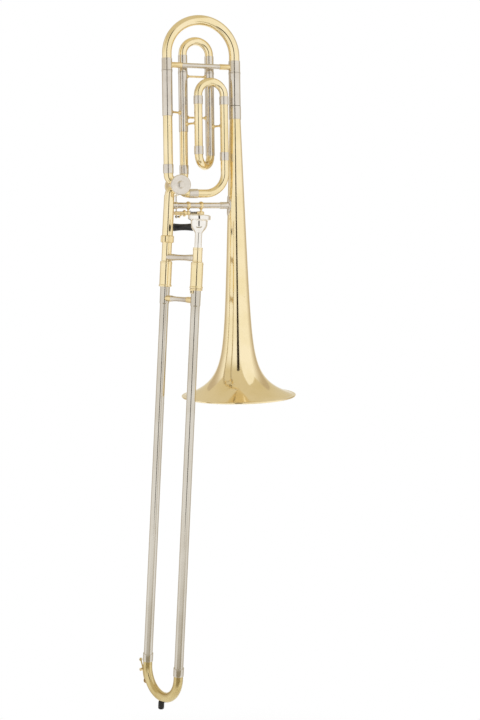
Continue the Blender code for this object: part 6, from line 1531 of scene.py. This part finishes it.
def makeCamera():
    s = studio
    yaw, roll = math.radians(s["yaw"]), math.radians(s["roll"])
    forward = Vector((-math.sin(yaw), math.cos(yaw), 0))
    level = Vector((math.cos(yaw), math.sin(yaw), 0))
    rightWay = level * math.cos(roll) + up * math.sin(roll)
    upWay = up * math.cos(roll) - level * math.sin(roll)
    data = bpy.data.cameras.new("photoCamera")
    data.lens, data.sensor_width, data.shift_y = s["lens"], s["sensor"], s["shift"]
    data.clip_start, data.clip_end = s["clip"]
    camera = newObject("photoCamera", data)
    place = Matrix((rightWay, upWay, -forward)).transposed().to_4x4()
    place.translation = s["cameraPlace"]
    camera.matrix_world = place
    bpy.context.scene.camera = camera


def makeWorld():
    # white for the camera and in reflections, plain level for everything else
    world = bpy.data.worlds.new("studioWhite")
    bpy.context.scene.world = world
    tree = emptyTree(world)
    rays = addNode(tree, "ShaderNodeLightPath")
    seen = addNode(tree, "ShaderNodeMath", {
        0: rays.outputs["Is Camera Ray"], 1: rays.outputs["Is Glossy Ray"]}, operation="MAXIMUM")
    shown = addNode(tree, "ShaderNodeMath", {
        0: seen.outputs[0], 1: rays.outputs["Is Transmission Ray"]}, operation="MAXIMUM")
    strength = addNode(tree, "ShaderNodeMapRange", {
        "Value": shown.outputs[0], "To Min": studio["skyLight"], "To Max": 1.0})
    sky = addNode(tree, "ShaderNodeBackground", {
        "Color": (1, 1, 1, 1), "Strength": strength.outputs["Result"]})
    addNode(tree, "ShaderNodeOutputWorld", {"Surface": sky.outputs[0]})


def card(name, shape, tone, fadeFrom, fadeTo, axis):
    # a card that only reflections see: white at fadeFrom and its own tone at fadeTo,
    # both in metres along the axis
    mesh = bpy.data.meshes.new(name)
    shape.to_mesh(mesh)
    shape.free()
    made = newObject(name, mesh)
    paper = bpy.data.materials.new(name + "Paper")
    tree = emptyTree(paper)
    place = addNode(tree, "ShaderNodeTexCoord")
    measured = addNode(tree, "ShaderNodeVectorMath", {
        0: place.outputs["Object"], 1: tuple(axis)}, operation="DOT_PRODUCT")
    share = addNode(tree, "ShaderNodeMapRange", {
        "Value": measured.outputs["Value"], "From Min": fadeFrom, "From Max": fadeTo},
        interpolation_type="SMOOTHSTEP")
    tint = addNode(tree, "ShaderNodeMix", {
        "Factor": share.outputs["Result"], "A": (1, 1, 1, 1), "B": hexColour(tone)},
        data_type="RGBA")
    glow = addNode(tree, "ShaderNodeEmission", {"Color": tint.outputs["Result"]})
    addNode(tree, "ShaderNodeOutputMaterial", {"Surface": glow.outputs[0]})
    mesh.materials.append(paper)
    made.visible_camera = made.visible_diffuse = made.visible_shadow = False


def panel(name, azimuth, distance, low, high, width, tone, fade=(-100, -99), upright=None,
          slant=0.0):
    # the top edge can slant down towards the camera's left
    heading = math.radians(studio["yaw"] - azimuth)
    out = Vector((math.sin(heading), -math.cos(heading), 0))
    across = Vector((out.y, -out.x, 0))
    side = across * width / 2
    centre = out * distance
    corners = [centre - side + up * low, centre + side + up * low,
               centre + side + up * (high - slant), centre - side + up * high]
    sheet = bmesh.new()
    sheet.faces.new([sheet.verts.new(corner) for corner in corners])
    card(name, sheet, tone, *(upright or fade), up if upright else across)


def makeFloor():
    # matt white paper that fades out towards its edge
    s = studio
    centre = Vector((*s["floorCentre"], cadBox[0][2] - s["slideRoom"]))
    mesh = bpy.data.meshes.new("floor")
    shape = bmesh.new()
    bmesh.ops.create_circle(shape, cap_ends=True, segments=96, radius=s["floorRadius"])
    shape.to_mesh(mesh)
    shape.free()
    mesh.transform(Matrix.Translation(centre))
    floor = newObject("floor", mesh)
    paper = bpy.data.materials.new("whitePaperSweep")
    tree = emptyTree(paper)
    place = addNode(tree, "ShaderNodeTexCoord")
    centred = addNode(tree, "ShaderNodeMapping", {
        "Vector": place.outputs["Object"], "Location": tuple(-centre)})
    far = addNode(tree, "ShaderNodeVectorMath", {0: centred.outputs[0]}, operation="LENGTH")
    fadeFrom, fadeTo = (s["floorRadius"] * share for share in s["floorFade"])
    fade = addNode(tree, "ShaderNodeMapRange", {
        "Value": far.outputs["Value"], "From Min": fadeFrom, "From Max": fadeTo},
        interpolation_type="SMOOTHSTEP")
    matt = addNode(tree, "ShaderNodeBsdfDiffuse", {"Color": hexColour(s["paper"])})
    clear = addNode(tree, "ShaderNodeBsdfTransparent")
    both = addNode(tree, "ShaderNodeMixShader", {
        0: fade.outputs["Result"], 1: matt.outputs[0], 2: clear.outputs[0]})
    addNode(tree, "ShaderNodeOutputMaterial", {"Surface": both.outputs[0]})
    mesh.materials.append(paper)


def makeStudio():
    for name, look in cards.items():
        panel(name, **look)
    d = domeCard
    yaw = math.radians(studio["yaw"])
    toBack = Vector((-math.sin(yaw), math.cos(yaw), 0))
    dome = bmesh.new()
    bmesh.ops.create_uvsphere(dome, u_segments=48, v_segments=24, radius=d["radius"])
    bmesh.ops.delete(dome, geom=[v for v in dome.verts if v.co.z < d["cutBelow"]],
                     context="VERTS")
    card("domeCard", dome, d["tone"], *d["fade"], up * d["up"] + toBack * d["back"])
    for name, look in lights.items():
        data = bpy.data.lights.new(name, "AREA")
        data.energy, data.size = look["energy"], look["size"]
        lamp = newObject(name, data)
        lamp.visible_glossy = False
        lamp.location = look["place"]
        aim = lightsTarget - lamp.location
        lamp.rotation_euler = aim.to_track_quat("-Z", "Y").to_euler()


makeCamera()
makeWorld()
makeFloor()
makeStudio()
bpy.context.scene.view_settings.view_transform = "Standard"
print("studio made")
